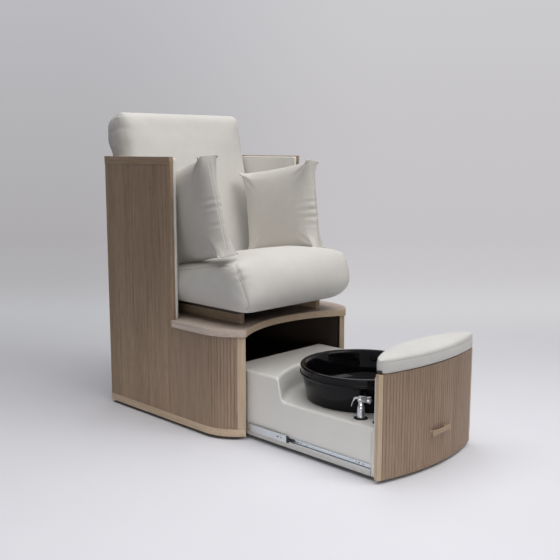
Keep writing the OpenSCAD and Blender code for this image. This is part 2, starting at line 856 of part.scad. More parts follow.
module front_panel() color(wood) pulled_out() difference() {
    bowed_wall(strip_angle - front_angle, front_angle - strip_angle, front_t, case_z, front_top);
    for (i = [-front_flutes:front_flutes])
        translate([0, front_centre_y, 0]) rotate([0, 0, i * flute_angle - 90])
            translate([front_r, 0, 0]) flute_cutter(case_z, front_top);
}

module front_strips() color(wood_light) pulled_out() {
    bowed_wall(-front_angle, strip_angle - front_angle, front_t, case_z, front_top);
    bowed_wall(front_angle - strip_angle, front_angle, front_t, case_z, front_top);
}

// One end of the grip tapers from a tall end to the waist
module grip_half(s) {
    y0 = front_apex_y - handle_gap - handle_t;
    end_x = handle_span / 2 + handle_end;
    z = case_z + handle_z;
    hull() {
        on_side(s) {
            block([end_x - 2 * handle_end, y0, z - handle_end_h / 2],
                  [end_x, y0 + handle_t, z + handle_end_h / 2]);
            block([0, y0, z - handle_waist_h / 2], [cut, y0 + handle_t, z + handle_waist_h / 2]);
        }
    }
}

module pull_handle() color(wood_light) pulled_out() {
    // The panel bows away from the handle, so each foot reaches back to the panel at its own place
    foot_y = front_centre_y - sqrt(pow(front_r, 2) - pow(handle_span / 2 - handle_end, 2));
    difference() {
        union() {
            for (s = [-1, 1]) {
                grip_half(s);
                translate([s * handle_span / 2, foot_y + 2 * cut, case_z + handle_z])
                    rotate([90, 0, 0])
                        cylinder(r = handle_waist_h / 2, h = foot_y - front_apex_y + handle_gap + 3 * cut);
            }
        }
        translate([0, front_centre_y, case_z]) cylinder(r = front_r, h = front_h, $fn = 128);
    }
}

module footrest_cleat() color(dark) pulled_out()
    block([-drawer_hw + cleat_inset, inner_front_y, drawer_z + inner_front_h],
          [drawer_hw - cleat_inset, deck_front, pad_z]);

// Lens between the bowed front and the hollow platform edge, shrunk by d
module pad_plan(d) {
    intersection() {
        translate([0, front_centre_y]) circle(r = front_r - d, $fn = 128);
        translate([0, scoop_y]) circle(r = platform_scoop_r - pad_gap - d, $fn = 128);
        translate([d - pad_half_w, scoop_y]) square([2 * (pad_half_w - d), 2 * platform_scoop_r]);
    }
}

module footrest_board() color(dark) pulled_out()
    translate([0, 0, pad_z]) linear_extrude(pad_board_t) pad_plan(pad_board_inset);

module footrest_pad() color(cream) pulled_out() difference() {
    translate([0, 0, pad_z]) linear_extrude(pad_t) pad_plan(0);
    translate([0, 0, pad_z - cut])
        linear_extrude(pad_board_t + cut + fit) pad_plan(pad_board_inset - fit);
}

module basin() color(black) pulled_out() translate([0, basin_y, 0]) difference() {
    rotate_extrude($fn = 128)
        polygon(concat(
            [[0, deck_low], [basin_foot_r - basin_soft, deck_low], [basin_foot_r, deck_low + basin_soft],
             [basin_body_r, band_z], [basin_r - basin_soft / 2, band_z], [basin_r, band_z + basin_soft / 2],
             [basin_r, basin_top - basin_soft], [basin_r - basin_soft, basin_top],
             [basin_inner_r + basin_soft, basin_top], [basin_inner_r, basin_top - basin_soft]],
            [for (a = [0:15:90])
                [basin_floor_r - basin_fillet * (1 - cos(a)), basin_floor + basin_fillet * (1 - sin(a))]],
            [[0, basin_floor]]));
    post(waste_r + fit, deck_low - cut, basin_floor + cut);
    overflow_place() cylinder(r = overflow_neck_r, h = 2 * (overflow_neck + fit), center = true);
}

// On the far side of the inner wall, below the rim, its +Z into the basin
module overflow_place() {
    wall_top = basin_top - basin_soft;
    wall_slope = atan2(basin_inner_r - basin_floor_r, wall_top - basin_floor - basin_fillet);
    rotate([0, 0, overflow_angle])
        translate([basin_inner_r - overflow_drop * tan(wall_slope), 0, wall_top - overflow_drop])
            rotate([0, wall_slope - 90, 0]) children();
}

module overflow_cover() color(chrome) pulled_out() translate([0, basin_y, 0]) overflow_place() {
    translate([0, 0, overflow_out]) cylinder(r = overflow_r, h = overflow_t);
    translate([0, 0, -overflow_neck])
        cylinder(r = overflow_neck_r - fit, h = overflow_neck + overflow_out + fit);
}

module basin_waste() color(chrome) pulled_out() translate([0, basin_y, 0]) difference() {
    union() {
        post(waste_flange_d / 2, basin_floor + waste_seat, waste_top);
        post(waste_r, waste_foot, waste_top);
        post(waste_nut_r, deck_under - waste_nut_t, deck_under - fit);
    }
    post(plug_r + fit, plug_foot - cut, waste_top + cut);
    post(waste_bore_r, waste_foot - cut, waste_top);
}

// Domed plug on a stem, standing closed in the waste
module drain_plug() color(chrome) pulled_out() translate([0, basin_y, 0]) {
    lip = waste_top + fit;
    post(plug_lip_r, lip, lip + plug_lip_t);
    translate([0, 0, lip + plug_lip_t]) cylinder(r1 = plug_lip_r, r2 = plug_dome_r, h = plug_lip_t);
    post(plug_r - plug_slack, plug_foot, lip);
}

module waste_trap() color(black) pulled_out() translate([0, basin_y, 0]) {
    difference() {
        union() {
            post(trap_r, trap_z - trap_floor, waste_foot);
            translate([0, 0, outlet_z]) rotate([-90, 0, 0]) cylinder(r = outlet_r, h = outlet_len);
        }
        post(waste_bore_r, trap_z, waste_foot + cut);
        translate([0, 0, outlet_z]) rotate([-90, 0, 0])
            cylinder(r = outlet_r - outlet_wall, h = outlet_len + cut);
    }
    // The foot of the trap stands on the drawer bottom
    post(trap_foot_r, drawer_z + drawer_base_t, trap_z - trap_floor);
}

// Rubber ring in a deck hole, with a lip on top
module grommet(bore) difference() {
    union() {
        post(grommet_r, deck_low, grommet_top);
        post(grommet_hole_r, deck_under, deck_low);
    }
    post(bore, deck_under - cut, grommet_top + cut);
}

module shower_grommet() color(black) pulled_out()
    translate([-shower_x, shower_y, 0]) grommet(shower_tail_r + fit);

module mixer_grommet() color(black) pulled_out()
    translate([-mixer_x, mixer_y, 0]) grommet(mixer_d / 2 + fit);

// The head of the hand shower along its own X, turned clear of the basin
module shower_head() {
    translate([-shower_x, shower_y, shower_head_z]) rotate([0, 0, -shower_turn]) children();
}

module hand_shower() color(chrome) pulled_out() {
    translate([-shower_x, shower_y, 0]) {
        post(shower_tail_r, grommet_top - tail_len, grommet_top + cut);
        post(shower_d / 2, grommet_top + fit, shower_neck_z);
        post(shower_neck_d / 2, shower_neck_z, shower_head_z);
        translate([0, 0, shower_neck_z])
            cylinder(r1 = shower_d / 2, r2 = shower_neck_d / 2, h = shower_taper);
    }
    shower_head() {
        translate([-shower_d / 2, 0, 0]) rotate([0, 90, 0]) {
            cylinder(d = shower_head_d, h = shower_head_len);
            translate([0, 0, shower_head_len]) cylinder(d1 = shower_head_d, d2 = shower_d, h = shower_rose);
        }
        // Ear that the trigger hangs on
        block([-shower_d / 2 - ear_reach, -ear_t / 2, -ear_t / 2],
              [-shower_d / 4, ear_t / 2, shower_head_d / 4]);
    }
}

// Thumb lever beside the neck, forked over the ear, with a round barrel at its hinge
module shower_trigger() color(chrome) pulled_out() shower_head()
    translate([-shower_d / 2 - ear_reach, 0, 0]) difference() {
        rotate([90, 0, 0]) linear_extrude(trigger_w, center = true) {
            circle(r = trigger_r);
            polygon([[0, trigger_r * 0.7], [-trigger_r * 0.7, 0], [-trigger_out - trigger_r / 2, -trigger_drop],
                     [-trigger_out + trigger_r / 2, -trigger_drop], [trigger_r * 0.7, 0]]);
        }
        block([-trigger_r / 2, -ear_t / 2 - fit, -trigger_drop],
              [ear_reach, ear_t / 2 + fit, trigger_drop]);
    }

module mixer_body() color(chrome) pulled_out() translate([-mixer_x, mixer_y, 0]) {
    post(mixer_d / 2, grommet_top - tail_len, mixer_top - mixer_cap_h);
    post(mixer_spindle_r, mixer_top - mixer_cap_h, mixer_top);
}

module mixer_lever() color(chrome) pulled_out() translate([-mixer_x, mixer_y, 0]) {
    foot = mixer_top - mixer_cap_h + fit;
    roof = mixer_top + fit;
    difference() {
        union() {
            post(mixer_d / 2, foot, roof + mixer_lever_t);
            rotate([0, 0, mixer_lever_turn])
                block([0, -mixer_lever_w / 2, roof],
                      [mixer_lever_len, mixer_lever_w / 2, roof + mixer_lever_t]);
        }
        post(mixer_spindle_r + fit, foot - cut, roof);
    }
}

// Hot supply, drain and cold supply, low on the rear panel
function connection_r(i) = i == 0 ? drain_r : supply_r;

module connection_at(i) {
    translate([i * connection_gap, rear_y, connection_z]) rotate([90, 0, 0]) children();
}

// A pipe stub through the rear panel, with a collar on each face
module connection(r) difference() {
    union() {
        translate([0, 0, -connection_out]) cylinder(r = r, h = connection_out + rear_t + connection_in);
        translate([0, 0, -collar_t]) cylinder(r = r + collar_w, h = collar_t);
        translate([0, 0, rear_t]) cylinder(r = r + collar_w, h = collar_t);
    }
    translate([0, 0, -connection_out - cut])
        cylinder(r = r - connection_wall, h = connection_out + rear_t + connection_in + 2 * cut);
}

module water_connections() color(chrome)
    for (i = [-1:1])
        connection_at(i) connection(connection_r(i));

floor_glides();
base_board();
skirt_band(-1);  // skirt_band_left
skirt_band(1);  // skirt_band_right
side_panel(-1);  // side_panel_left
side_panel(1);  // side_panel_right
side_cap(-1);  // side_cap_left
side_cap(1);  // side_cap_right
flute_panel(-1);  // flute_panel_left
flute_panel(1);  // flute_panel_right
edge_post(-1);  // edge_post_left
edge_post(1);  // edge_post_right
inner_side(-1);  // inner_side_left
inner_side(1);  // inner_side_right
rear_panel();
platform_board();
platform_lipping();
seat_rails();
seat_board();
seat_cushion();
back_gussets();
back_board();
back_cushion();
arm_lining(-1);  // arm_lining_left
arm_lining(1);  // arm_lining_right
cushion_left();
cushion_right();
runner_outer(-1);  // runner_outer_left
runner_outer(1);  // runner_outer_right
runner_mid(-1);  // runner_mid_left
runner_mid(1);  // runner_mid_right
runner_inner(-1);  // runner_inner_left
runner_inner(1);  // runner_inner_right
release_lever(-1);  // release_lever_left
release_lever(1);  // release_lever_right
drawer_side(-1);  // drawer_side_left
drawer_side(1);  // drawer_side_right
drawer_base();
drawer_back();
deck_board();
deck_moulding();
drawer_inner_front();
front_panel();
front_strips();
pull_handle();
footrest_cleat();
footrest_board();
footrest_pad();
basin();
basin_waste();
drain_plug();
waste_trap();
overflow_cover();
shower_grommet();
mixer_grommet();
hand_shower();
shower_trigger();
mixer_body();
mixer_lever();
water_connections();
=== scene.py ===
import math

import bmesh
import bpy
import numpy as np
from mathutils import Euler, Matrix, Vector
from mathutils.bvhtree import BVHTree


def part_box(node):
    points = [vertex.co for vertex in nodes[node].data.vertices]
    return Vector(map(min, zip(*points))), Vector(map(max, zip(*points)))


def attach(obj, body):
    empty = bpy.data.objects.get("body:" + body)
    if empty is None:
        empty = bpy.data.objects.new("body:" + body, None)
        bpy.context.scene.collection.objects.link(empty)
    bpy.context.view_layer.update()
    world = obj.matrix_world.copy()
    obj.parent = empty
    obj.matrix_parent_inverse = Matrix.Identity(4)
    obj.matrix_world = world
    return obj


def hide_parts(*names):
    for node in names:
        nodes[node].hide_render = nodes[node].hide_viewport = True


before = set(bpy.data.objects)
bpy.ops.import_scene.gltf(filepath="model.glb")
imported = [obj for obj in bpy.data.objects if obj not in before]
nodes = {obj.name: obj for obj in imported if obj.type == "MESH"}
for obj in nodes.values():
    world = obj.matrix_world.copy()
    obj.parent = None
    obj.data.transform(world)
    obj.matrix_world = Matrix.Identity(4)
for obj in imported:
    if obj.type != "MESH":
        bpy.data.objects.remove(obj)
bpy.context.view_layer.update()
mm = 0.001


# Shader graphs

class Wire:  # a shader socket that takes arithmetic
    def __init__(self, graph, socket):
        self.graph, self.socket = graph, socket

    def join(self, operation, other, flipped=False):
        first, second = (other, self) if flipped else (self, other)
        return self.graph.node("ShaderNodeMath", {"operation": operation}, {0: first, 1: second})

    def __add__(self, other):
        return self.join("ADD", other)

    def __sub__(self, other):
        return self.join("SUBTRACT", other)

    def __rsub__(self, other):
        return self.join("SUBTRACT", other, True)

    def __mul__(self, other):
        return self.join("MULTIPLY", other)

    def __truediv__(self, other):
        return self.join("DIVIDE", other)

    def __rtruediv__(self, other):
        return self.join("DIVIDE", other, True)

    __radd__ = __add__
    __rmul__ = __mul__


class Graph:  # the nodes of one material, or of the world
    def __init__(self, name, world=None):
        self.material = world or bpy.data.materials.new(name)
        self.material.use_nodes = True
        self.tree = self.material.node_tree
        self.tree.nodes.clear()

    def node(self, kind, settings=None, sockets=None, output=0):
        made = self.tree.nodes.new(kind)
        for key, value in (settings or {}).items():
            if key == "stops":
                while len(made.color_ramp.elements) < len(value):
                    made.color_ramp.elements.new(0.5)
                for stop, (share, shade) in zip(made.color_ramp.elements, value):
                    stop.position = share
                    stop.color = (*shade, 1) if isinstance(shade, tuple) else (shade, shade, shade, 1)
            else:
                setattr(made, key, value)
        for key, value in (sockets or {}).items():
            if isinstance(value, Wire):
                self.tree.links.new(value.socket, made.inputs[key])
            else:
                made.inputs[key].default_value = value
        return Wire(self, made.outputs[output]) if made.outputs else made

    def place(self, scale=(1, 1, 1)):  # the piece's own coordinates, in metres
        here = self.node("ShaderNodeTexCoord", output="Object")
        return self.node("ShaderNodeMapping", {}, {"Vector": here, "Scale": scale})

    def noise(self, vector, scale, detail=3.0, roughness=0.5, distortion=0.0):
        sockets = {"Vector": vector, "Scale": scale, "Detail": detail, "Roughness": roughness,
                   "Distortion": distortion}
        return self.node("ShaderNodeTexNoise", {}, sockets)

    def ramp(self, value, stops):
        return self.node("ShaderNodeValToRGB", {"stops": stops}, {"Fac": value})

    def fade(self, value, start, end):  # 0 up to start, 1 from end on
        return self.node("ShaderNodeMapRange", {"interpolation_type": "SMOOTHSTEP"},
                         {"Value": value, "From Min": start, "From Max": end})

    def mix(self, share, first, second):
        return self.node("ShaderNodeMix", {"data_type": "RGBA"}, {0: share, 6: first, 7: second}, output=2)

    def bump(self, height, strength, distance):
        return self.node("ShaderNodeBump", {}, {"Height": height, "Strength": strength, "Distance": distance})

    def finish(self, color, roughness, normal=None, **fixed):
        sockets = {"Base Color": color, "Roughness": roughness}
        sockets.update({key.replace("_", " "): value for key, value in fixed.items()})
        if normal is not None:
            sockets["Normal"] = normal
        shader = self.node("ShaderNodeBsdfPrincipled", {}, sockets)
        self.node("ShaderNodeOutputMaterial", {}, {"Surface": shader})
        return self.material


def tone(*screen):  # a screen colour, 0 to 255, as the shader's linear one
    return tuple(((c / 255 + 0.055) / 1.055) ** 2.4 for c in screen)


def shaded(base, factor):
    return tuple(c * factor for c in base)


oakTones = {
    "greige": (tone(118, 96, 78), tone(152, 129, 107), tone(176, 152, 129)),
    "flute": (tone(128, 106, 89), tone(149, 127, 108), tone(164, 141, 121)),
    "cap": (tone(142, 119, 97), tone(162, 139, 115), tone(178, 155, 131)),
    "light": (tone(174, 152, 128), tone(193, 171, 146), tone(206, 186, 162)),
    "top": (tone(178, 160, 148), tone(200, 184, 172), tone(214, 200, 190)),
}


def oak(name, key, pores, along="Z"):  # the grain runs along one axis
    look = {"stretch": 0.03, "board": 13, "figure": 130, "fibre": 420, "pore": 330, "poreStretch": 0.05}
    dark, mid, pale = oakTones[key]
    g = Graph(name)
    flow = g.place(tuple(look["stretch"] if a == along else 1 for a in "XYZ"))
    poreFlow = g.place(tuple(look["poreStretch"] if a == along else 1 for a in "XYZ"))
    broad = g.noise(flow, look["board"], 3, 0.55, 0.4)
    figure = g.noise(flow, look["figure"], 5, 0.6, 0.6)
    fibre = g.noise(flow, look["fibre"], 4, 0.65)
    pore = g.noise(poreFlow, look["pore"], 3, 0.6)
    grain = broad * 0.26 + figure * 0.44 + fibre * 0.3
    color = g.ramp(grain, [(0.36, dark), (0.5, mid), (0.64, pale)])
    poreLine = g.ramp(pore, [(0.34, 1.0), (0.42, 0.0)])
    shade = g.mix(poreLine * (0.4 * pores), color, (*shaded(dark, 0.55), 1))
    rough = fibre * 0.16 + 0.5
    normal = g.bump(fibre * 0.6 - poreLine * pores, 0.28, 0.0006)
    return g.finish(shade, rough, normal)


def leatherette(name, base, worn=1.0):
    look = {"pebble": 620, "fine": 1700, "cloud": 5, "soft": 26}
    g = Graph(name)
    here = g.place()
    cells = {"Vector": here, "Scale": look["pebble"]}
    pebble = g.node("ShaderNodeTexVoronoi", {"feature": "SMOOTH_F1"}, cells)
    fine = g.noise(here, look["fine"], 3, 0.6)
    cloud = g.noise(here, look["cloud"], 4, 0.55)
    soft = g.noise(here, look["soft"], 3, 0.5)
    color = g.ramp(cloud * 0.7 + soft * 0.3, [(0.3, shaded(base, 0.93)), (0.7, shaded(base, 1.035))])
    rough = 0.43 + fine * 0.1 + soft * (0.06 * worn)
    pebbled = g.bump(pebble * 0.7 + fine * 0.3, 0.1, 0.0005)
    creased = {"Height": soft, "Strength": 0.12 * worn, "Distance": 0.003, "Normal": pebbled}
    normal = g.node("ShaderNodeBump", {}, creased)
    return g.finish(color, rough, normal, Coat_Weight=0.06, Coat_Roughness=0.35)


def board(name, base, roughness=0.6):  # plain dark boards inside the case
    look = {"speck": 240, "cloud": 7, "stretch": 0.2}
    g = Graph(name)
    here = g.place((1, 1, look["stretch"]))
    speck = g.noise(here, look["speck"], 4, 0.65)
    cloud = g.noise(here, look["cloud"], 3)
    color = g.ramp(speck * 0.5 + cloud * 0.5, [(0.3, shaded(base, 0.7)), (0.7, base)])
    return g.finish(color, speck * 0.2 + (roughness - 0.1), g.bump(speck, 0.15, 0.0004))


def gelcoat(name, base, roughness=0.34):  # smooth white moulding with a faint orange peel
    look = {"peel": 190, "cloud": 4, "scuff": 120, "scuffStretch": 0.15}
    g = Graph(name)
    here = g.place()
    peel = g.noise(here, look["peel"], 2, 0.5)
    cloud = g.noise(here, look["cloud"], 3, 0.6)
    scuff = g.noise(g.place((1, look["scuffStretch"], 1)), look["scuff"], 4, 0.7)
    color = g.ramp(cloud, [(0.3, shaded(base, 0.955)), (0.7, base)])
    rough = roughness + g.ramp(scuff, [(0.55, 0.0), (0.8, 1.0)]) * 0.14
    return g.finish(color, rough, g.bump(peel, 0.06, 0.0008), Coat_Weight=0.25, Coat_Roughness=0.22)


def resin(name, base, roughness, coat):  # the black bowl
    look = {"wave": 16, "mark": 90, "shine": 0.17, "coatRough": 0.05}
    g = Graph(name)
    here = g.place()
    wave = g.noise(here, look["wave"], 2, 0.5)
    mark = g.noise(here, look["mark"], 4, 0.7)
    color = g.ramp(mark, [(0.35, shaded(base, 0.8)), (0.7, shaded(base, 1.25))])
    rough = roughness + g.ramp(mark, [(0.5, 0.0), (0.85, 1.0)]) * 0.12
    return g.finish(color, rough, g.bump(wave, 0.08, 0.002), Coat_Weight=coat,
                    Coat_Roughness=look["coatRough"], Specular_IOR_Level=look["shine"])


def plated(name, base, roughness, wear, along=None):  # chrome, zinc or nickel plate
    look = {"stretch": 0.02, "brushed": 900, "plain": 60, "cloud": 22}
    g = Graph(name)
    squeeze = tuple(look["stretch"] if a == along else 1 for a in "XYZ")
    line = g.noise(g.place(squeeze), look["brushed"] if along else look["plain"], 4, 0.7)
    cloud = g.noise(g.place(), look["cloud"], 3)
    color = g.ramp(cloud, [(0.3, shaded(base, 0.92)), (0.7, base)])
    rough = roughness + line * wear + cloud * (wear * 0.5)
    return g.finish(color, rough, g.bump(line, 0.08 if along else 0.02, 0.0003), Metallic=1.0)


def blackPlastic(name, base=(0.018, 0.018, 0.02), roughness=0.5):
    look = {"grain": 1400, "cloud": 30}
    g = Graph(name)
    grain = g.noise(g.place(), look["grain"], 3, 0.6)
    cloud = g.noise(g.place(), look["cloud"], 2)
    color = g.ramp(cloud, [(0.3, shaded(base, 0.75)), (0.7, shaded(base, 1.3))])
    return g.finish(color, roughness - 0.08 + grain * 0.16, g.bump(grain, 0.12, 0.0003))


oakUpright = oak("oakUpright", "greige", 1.3)
oakFlute = oak("oakFlute", "flute", 0.7)
oakCap = oak("oakCap", "cap", 0.6, "Y")
oakEdge = oak("oakEdge", "light", 0.5)
oakEdgeLying = oak("oakEdgeLying", "light", 0.5, "Y")
oakTop = oak("oakTop", "top", 0.35, "Y")
oakGrip = oak("oakGrip", "cap", 0.6, "X")
darkBoard = board("darkBoard", tone(62, 52, 45), 0.55)
liningSkin = leatherette("liningSkin", tone(234, 232, 226), 0.6)
cushionSkin = leatherette("cushionSkin", tone(214, 211, 206))
pillowSkin = leatherette("pillowSkin", tone(211, 207, 201), 1.4)
padSkin = leatherette("padSkin", tone(214, 212, 208), 0.7)
seamThread = leatherette("seamThread", tone(176, 172, 165), 0.3)
deckGel = gelcoat("deckGel", tone(226, 224, 220))
bowlGloss = resin("bowlGloss", (0.003, 0.003, 0.004), 0.05, 0.06)
chromePlate = plated("chromePlate", (0.62, 0.63, 0.65), 0.04, 0.05)
zincPlate = plated("zincPlate", tone(226, 232, 236), 0.34, 0.16, "Y")
nickelPlate = plated("nickelPlate", tone(206, 202, 192), 0.24, 0.12)
# black plastic for the catches, rose and other black parts, also used for the painted shade in the runners
blackPlasticAndShade = blackPlastic("blackPlasticAndShade")
blackRing = blackPlastic("blackRing", (0.012, 0.012, 0.012), 0.62)
print("materials made")


# Mesh tools

def linked(name, data, *materials):
    thing = bpy.data.objects.new(name, data)
    bpy.context.scene.collection.objects.link(thing)
    for material in materials:
        data.materials.append(material)
    return thing


def gathered(name, made, *materials):  # a piece from an edit mesh, which ends here
    mesh = bpy.data.meshes.new(name)
    made.to_mesh(mesh)
    made.free()
    return linked(name, mesh, *materials)


def newPiece(name, points, faces, material, smooth=True):
    mesh = bpy.data.meshes.new(name)
    mesh.from_pydata([tuple(p) for p in points], [], [tuple(f) for f in faces])
    mesh.validate()
    piece = linked(name, mesh, material)
    tidy = bmesh.new()
    tidy.from_mesh(mesh)
    bmesh.ops.remove_doubles(tidy, verts=tidy.verts, dist=1e-6)
    bmesh.ops.recalc_face_normals(tidy, faces=tidy.faces)
    tidy.to_mesh(mesh)
    tidy.free()
    for face in mesh.polygons:
        face.use_smooth = smooth
    return piece


def settle(piece, body, slot, *stoodFor):
    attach(piece, body)
    if stoodFor:
        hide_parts(*stoodFor)
    return piece


def stitched(rows, closed=False):  # quads between rows of points, each row a list of equal length
    wide = len(rows[0])
    points = [p for row in rows for p in row]
    faces = []
    for i in range(len(rows) - 1):
        for j in range(wide if closed else wide - 1):
            k = (j + 1) % wide
            faces.append((i * wide + j, i * wide + k, (i + 1) * wide + k, (i + 1) * wide + j))
    return points, faces


def filleted(corners, steps):  # a path whose corners (x, z, radius) are rounded
    path = []
    for i, (x, z, radius) in enumerate(corners):
        here = Vector((x, z))
        if radius <= 0 or i in (0, len(corners) - 1):
            path.append(here)
            continue
        before = Vector(corners[i - 1][:2]) - here
        after = Vector(corners[i + 1][:2]) - here
        start = here + before.normalized() * min(radius, before.length * 0.49)
        end = here + after.normalized() * min(radius, after.length * 0.49)
        for k in range(steps + 1):
            t = k / steps
            path.append(start.lerp(here, t).lerp(here.lerp(end, t), t))
    return path


def turned(name, corners, centre, material, axis=(0, 0, 1), segments=96):  # radius, height, fillet
    path = filleted([(x * mm, z * mm, r * mm) for x, z, r in corners], 5)
    spin = Vector((0, 0, 1)).rotation_difference(Vector(axis)).to_matrix()
    rows = []
    for radius, height in path:
        wide = max(radius, 1e-5)
        rows.append([spin @ Vector((wide * math.cos(a), wide * math.sin(a), height)) + Vector(centre)
                     for a in (2 * math.pi * k / segments for k in range(segments))])
    points, faces = stitched(rows, True)
    for row in (0, len(rows) - 1):
        if path[row][0] < 1e-4:  # close a pole
            middle = len(points)
            points.append(sum(rows[row], Vector()) / segments)
            first = row * segments
            faces += [(first + (k + 1) % segments, first + k, middle) for k in range(segments)]
    return newPiece(name, points, faces, material)


def tube(name, path, radius, material, sides=6):
    rows = []
    for i, here in enumerate(path):
        before = path[i - 1] if i else here
        after = path[i + 1] if i < len(path) - 1 else here
        ahead = (after - before).normalized()
        side = ahead.cross(Vector((0, 0, 1)))
        side = side.normalized() if side.length > 0.05 else ahead.cross(Vector((0, 1, 0))).normalized()
        over = side.cross(ahead)
        rows.append([here + side * (radius * math.cos(a)) + over * (radius * math.sin(a))
                     for a in (2 * math.pi * k / sides for k in range(sides))])
    points, faces = stitched(rows, True)
    faces.append(tuple(reversed(range(sides))))
    faces.append(tuple(range(len(points) - sides, len(points))))
    return newPiece(name, points, faces, material)


def dress(names, material, edge=0.0):  # CAD nodes with their own finish and softened edges
    for name in names:
        piece = nodes[name]
        for holder in piece.material_slots:
            holder.material = material
        if not piece.material_slots:
            piece.data.materials.append(material)
        if edge:
            weld = piece.modifiers.new("weld", "WELD")
            weld.merge_threshold = 1e-5
            bevel = piece.modifiers.new("edge", "BEVEL")
            bevel.width = edge * mm
            bevel.segments = 2
            bevel.limit_method = "ANGLE"
            bevel.angle_limit = math.radians(40)
            bevel.harden_normals = True


def both(stem):
    return [stem + "_left", stem + "_right"]


dress(both("side_panel") + ["rear_panel"], oakUpright)
dress(both("flute_panel") + ["front_panel"], oakFlute)
dress(both("side_cap"), oakCap, 1.0)
dress(both("edge_post") + ["front_strips"], oakEdge, 0.6)
dress(both("skirt_band"), oakEdgeLying, 0.8)
dress(["platform_board"], oakTop, 0.8)
dress(["platform_lipping", "seat_rails"], oakEdgeLying, 0.5)
dress(both("inner_side") + ["base_board", "seat_board", "back_gussets", "back_board"], darkBoard)
dress(both("drawer_side") + ["drawer_base", "drawer_back"], darkBoard)
dress(["deck_board", "footrest_cleat", "footrest_board"], darkBoard)
dress(both("runner_outer") + both("runner_mid") + both("runner_inner"), zincPlate)
dress(["waste_trap", "floor_glides"], blackPlasticAndShade)
dress(["drawer_inner_front"], deckGel, 0.3)
dress(["water_connections"], nickelPlate, 0.4)
print("cabinet dressed")


# Soft goods

def loose(piece):  # the mesh with its modifiers made real
    graph = bpy.context.evaluated_depsgraph_get()
    mesh = bpy.data.meshes.new_from_object(piece.evaluated_get(graph))
    piece.modifiers.clear()
    piece.data = mesh
    return mesh


def readAll(source, key):
    flat = np.empty(len(source) * 3, np.float32)
    source.foreach_get(key, flat)
    return flat.reshape(-1, 3).astype(float)


def pointsOf(mesh):
    return readAll(mesh.vertices, "co")


def normalsOf(mesh):
    return readAll(mesh.vertex_normals, "vector")


def place(mesh, points):
    mesh.vertices.foreach_set("co", points.astype(np.float32).ravel())
    mesh.update()


def relax(mesh, points, rounds, keep=0.0):  # evens out bumps; keep holds a point where it is
    edges = np.empty(len(mesh.edges) * 2, np.int32)
    mesh.edges.foreach_get("vertices", edges)
    first, second = edges.reshape(-1, 2).T
    count = np.bincount(first, minlength=len(points)) + np.bincount(second, minlength=len(points))
    give = 0.6 * (1 - np.broadcast_to(keep, len(points))[:, None])
    for _ in range(rounds):
        mean = np.stack([np.bincount(first, points[second, k], len(points))
                         + np.bincount(second, points[first, k], len(points)) for k in range(3)], 1)
        points = points + (mean / count[:, None] - points) * give
    return points


def onSide(path, s):  # the path on the right for s = 1, mirrored to the left for s = -1
    return [(s * x, y, z) for x, y, z in path]


def reach(points, path):  # how far each point is from a line, and how far along it
    near = np.full(len(points), 9.0)
    along = np.zeros(len(points))
    run = 0.0
    for a, b in zip(path[:-1], path[1:]):
        a, b = np.array(a), np.array(b)
        length = np.linalg.norm(b - a)
        t = np.clip((points - a) @ (b - a) / length ** 2, 0, 1)
        gap = np.linalg.norm(points - a - t[:, None] * (b - a), axis=1)
        closer = gap < near
        near[closer] = gap[closer]
        along[closer] = run + t[closer] * length
        run += length
    return near, along


def laidOn(mesh, path, step=0.006):  # a line laid onto a surface
    tree = BVHTree.FromPolygons([v.co for v in mesh.vertices], [p.vertices for p in mesh.polygons])
    laid = []
    for a, b in zip(path[:-1], path[1:]):
        a, b = Vector(a), Vector(b)
        parts = max(1, round((b - a).length / step))
        laid += [tree.find_nearest(a.lerp(b, k / parts))[0] for k in range(parts)]
    laid.append(tree.find_nearest(Vector(path[-1]))[0])
    even = [laid[0]]
    for point in laid[1:]:
        if (point - even[-1]).length > step * 0.5:
            even.append(point)
    for _ in range(6):
        even = [even[0]] + [(a + b * 2 + c) / 4 for a, b, c in zip(even, even[1:], even[2:])] + [even[-1]]
    return even


def bell(gap, width):  # 1 at no gap, falling to nothing over about two widths
    return np.exp(-(gap / width) ** 2)


def risen(value, start, length):  # 0 up to start, 1 once length has gone by
    return np.clip((value - start) / length, 0, 1)


sewLook = {"pleat": 0.005, "shoulder": 0.011, "shoulderWide": 0.006, "shoulderHigh": 0.5, "clear": 0.005,
           "creaseSide": 0.55, "creaseFade": 0.7}


def sew(mesh, path, groove, width, pleats=()):  # sinks a seam; pleats are (place, depth, length)
    look = sewLook
    points, normals = pointsOf(mesh), normalsOf(mesh)
    gap, along = reach(points, path)
    sink = groove * bell(gap, width)
    away = 1 - bell(gap, look["clear"])
    for spot, depth, length in pleats:
        off = along - spot
        shoulder = bell(np.abs(off) - look["shoulder"], look["shoulderWide"])
        ridge = bell(off, look["pleat"]) - look["shoulderHigh"] * shoulder
        sink += depth * ridge * away * bell(gap, length)
    place(mesh, points - normals * sink[:, None])


def crease(mesh, start, end, depth, width):  # a tension fold that fades from start to end
    look = sewLook
    points, normals = pointsOf(mesh), normalsOf(mesh)
    gap, along = reach(points, laidOn(mesh, [start, end], 0.01))
    length = (Vector(end) - Vector(start)).length
    fade = np.clip(1 - along / length, 0, 1) ** look["creaseFade"]
    sink = depth * fade * (bell(gap, width) - look["creaseSide"] * bell(gap - 2 * width, width))
    place(mesh, points - normals * sink[:, None])


coverLook = {"pressure": 5.0, "stiff": 15, "shear": 5, "bend": 0.6, "mass": 0.3, "drag": 2, "quality": 3,
             "frames": 20}


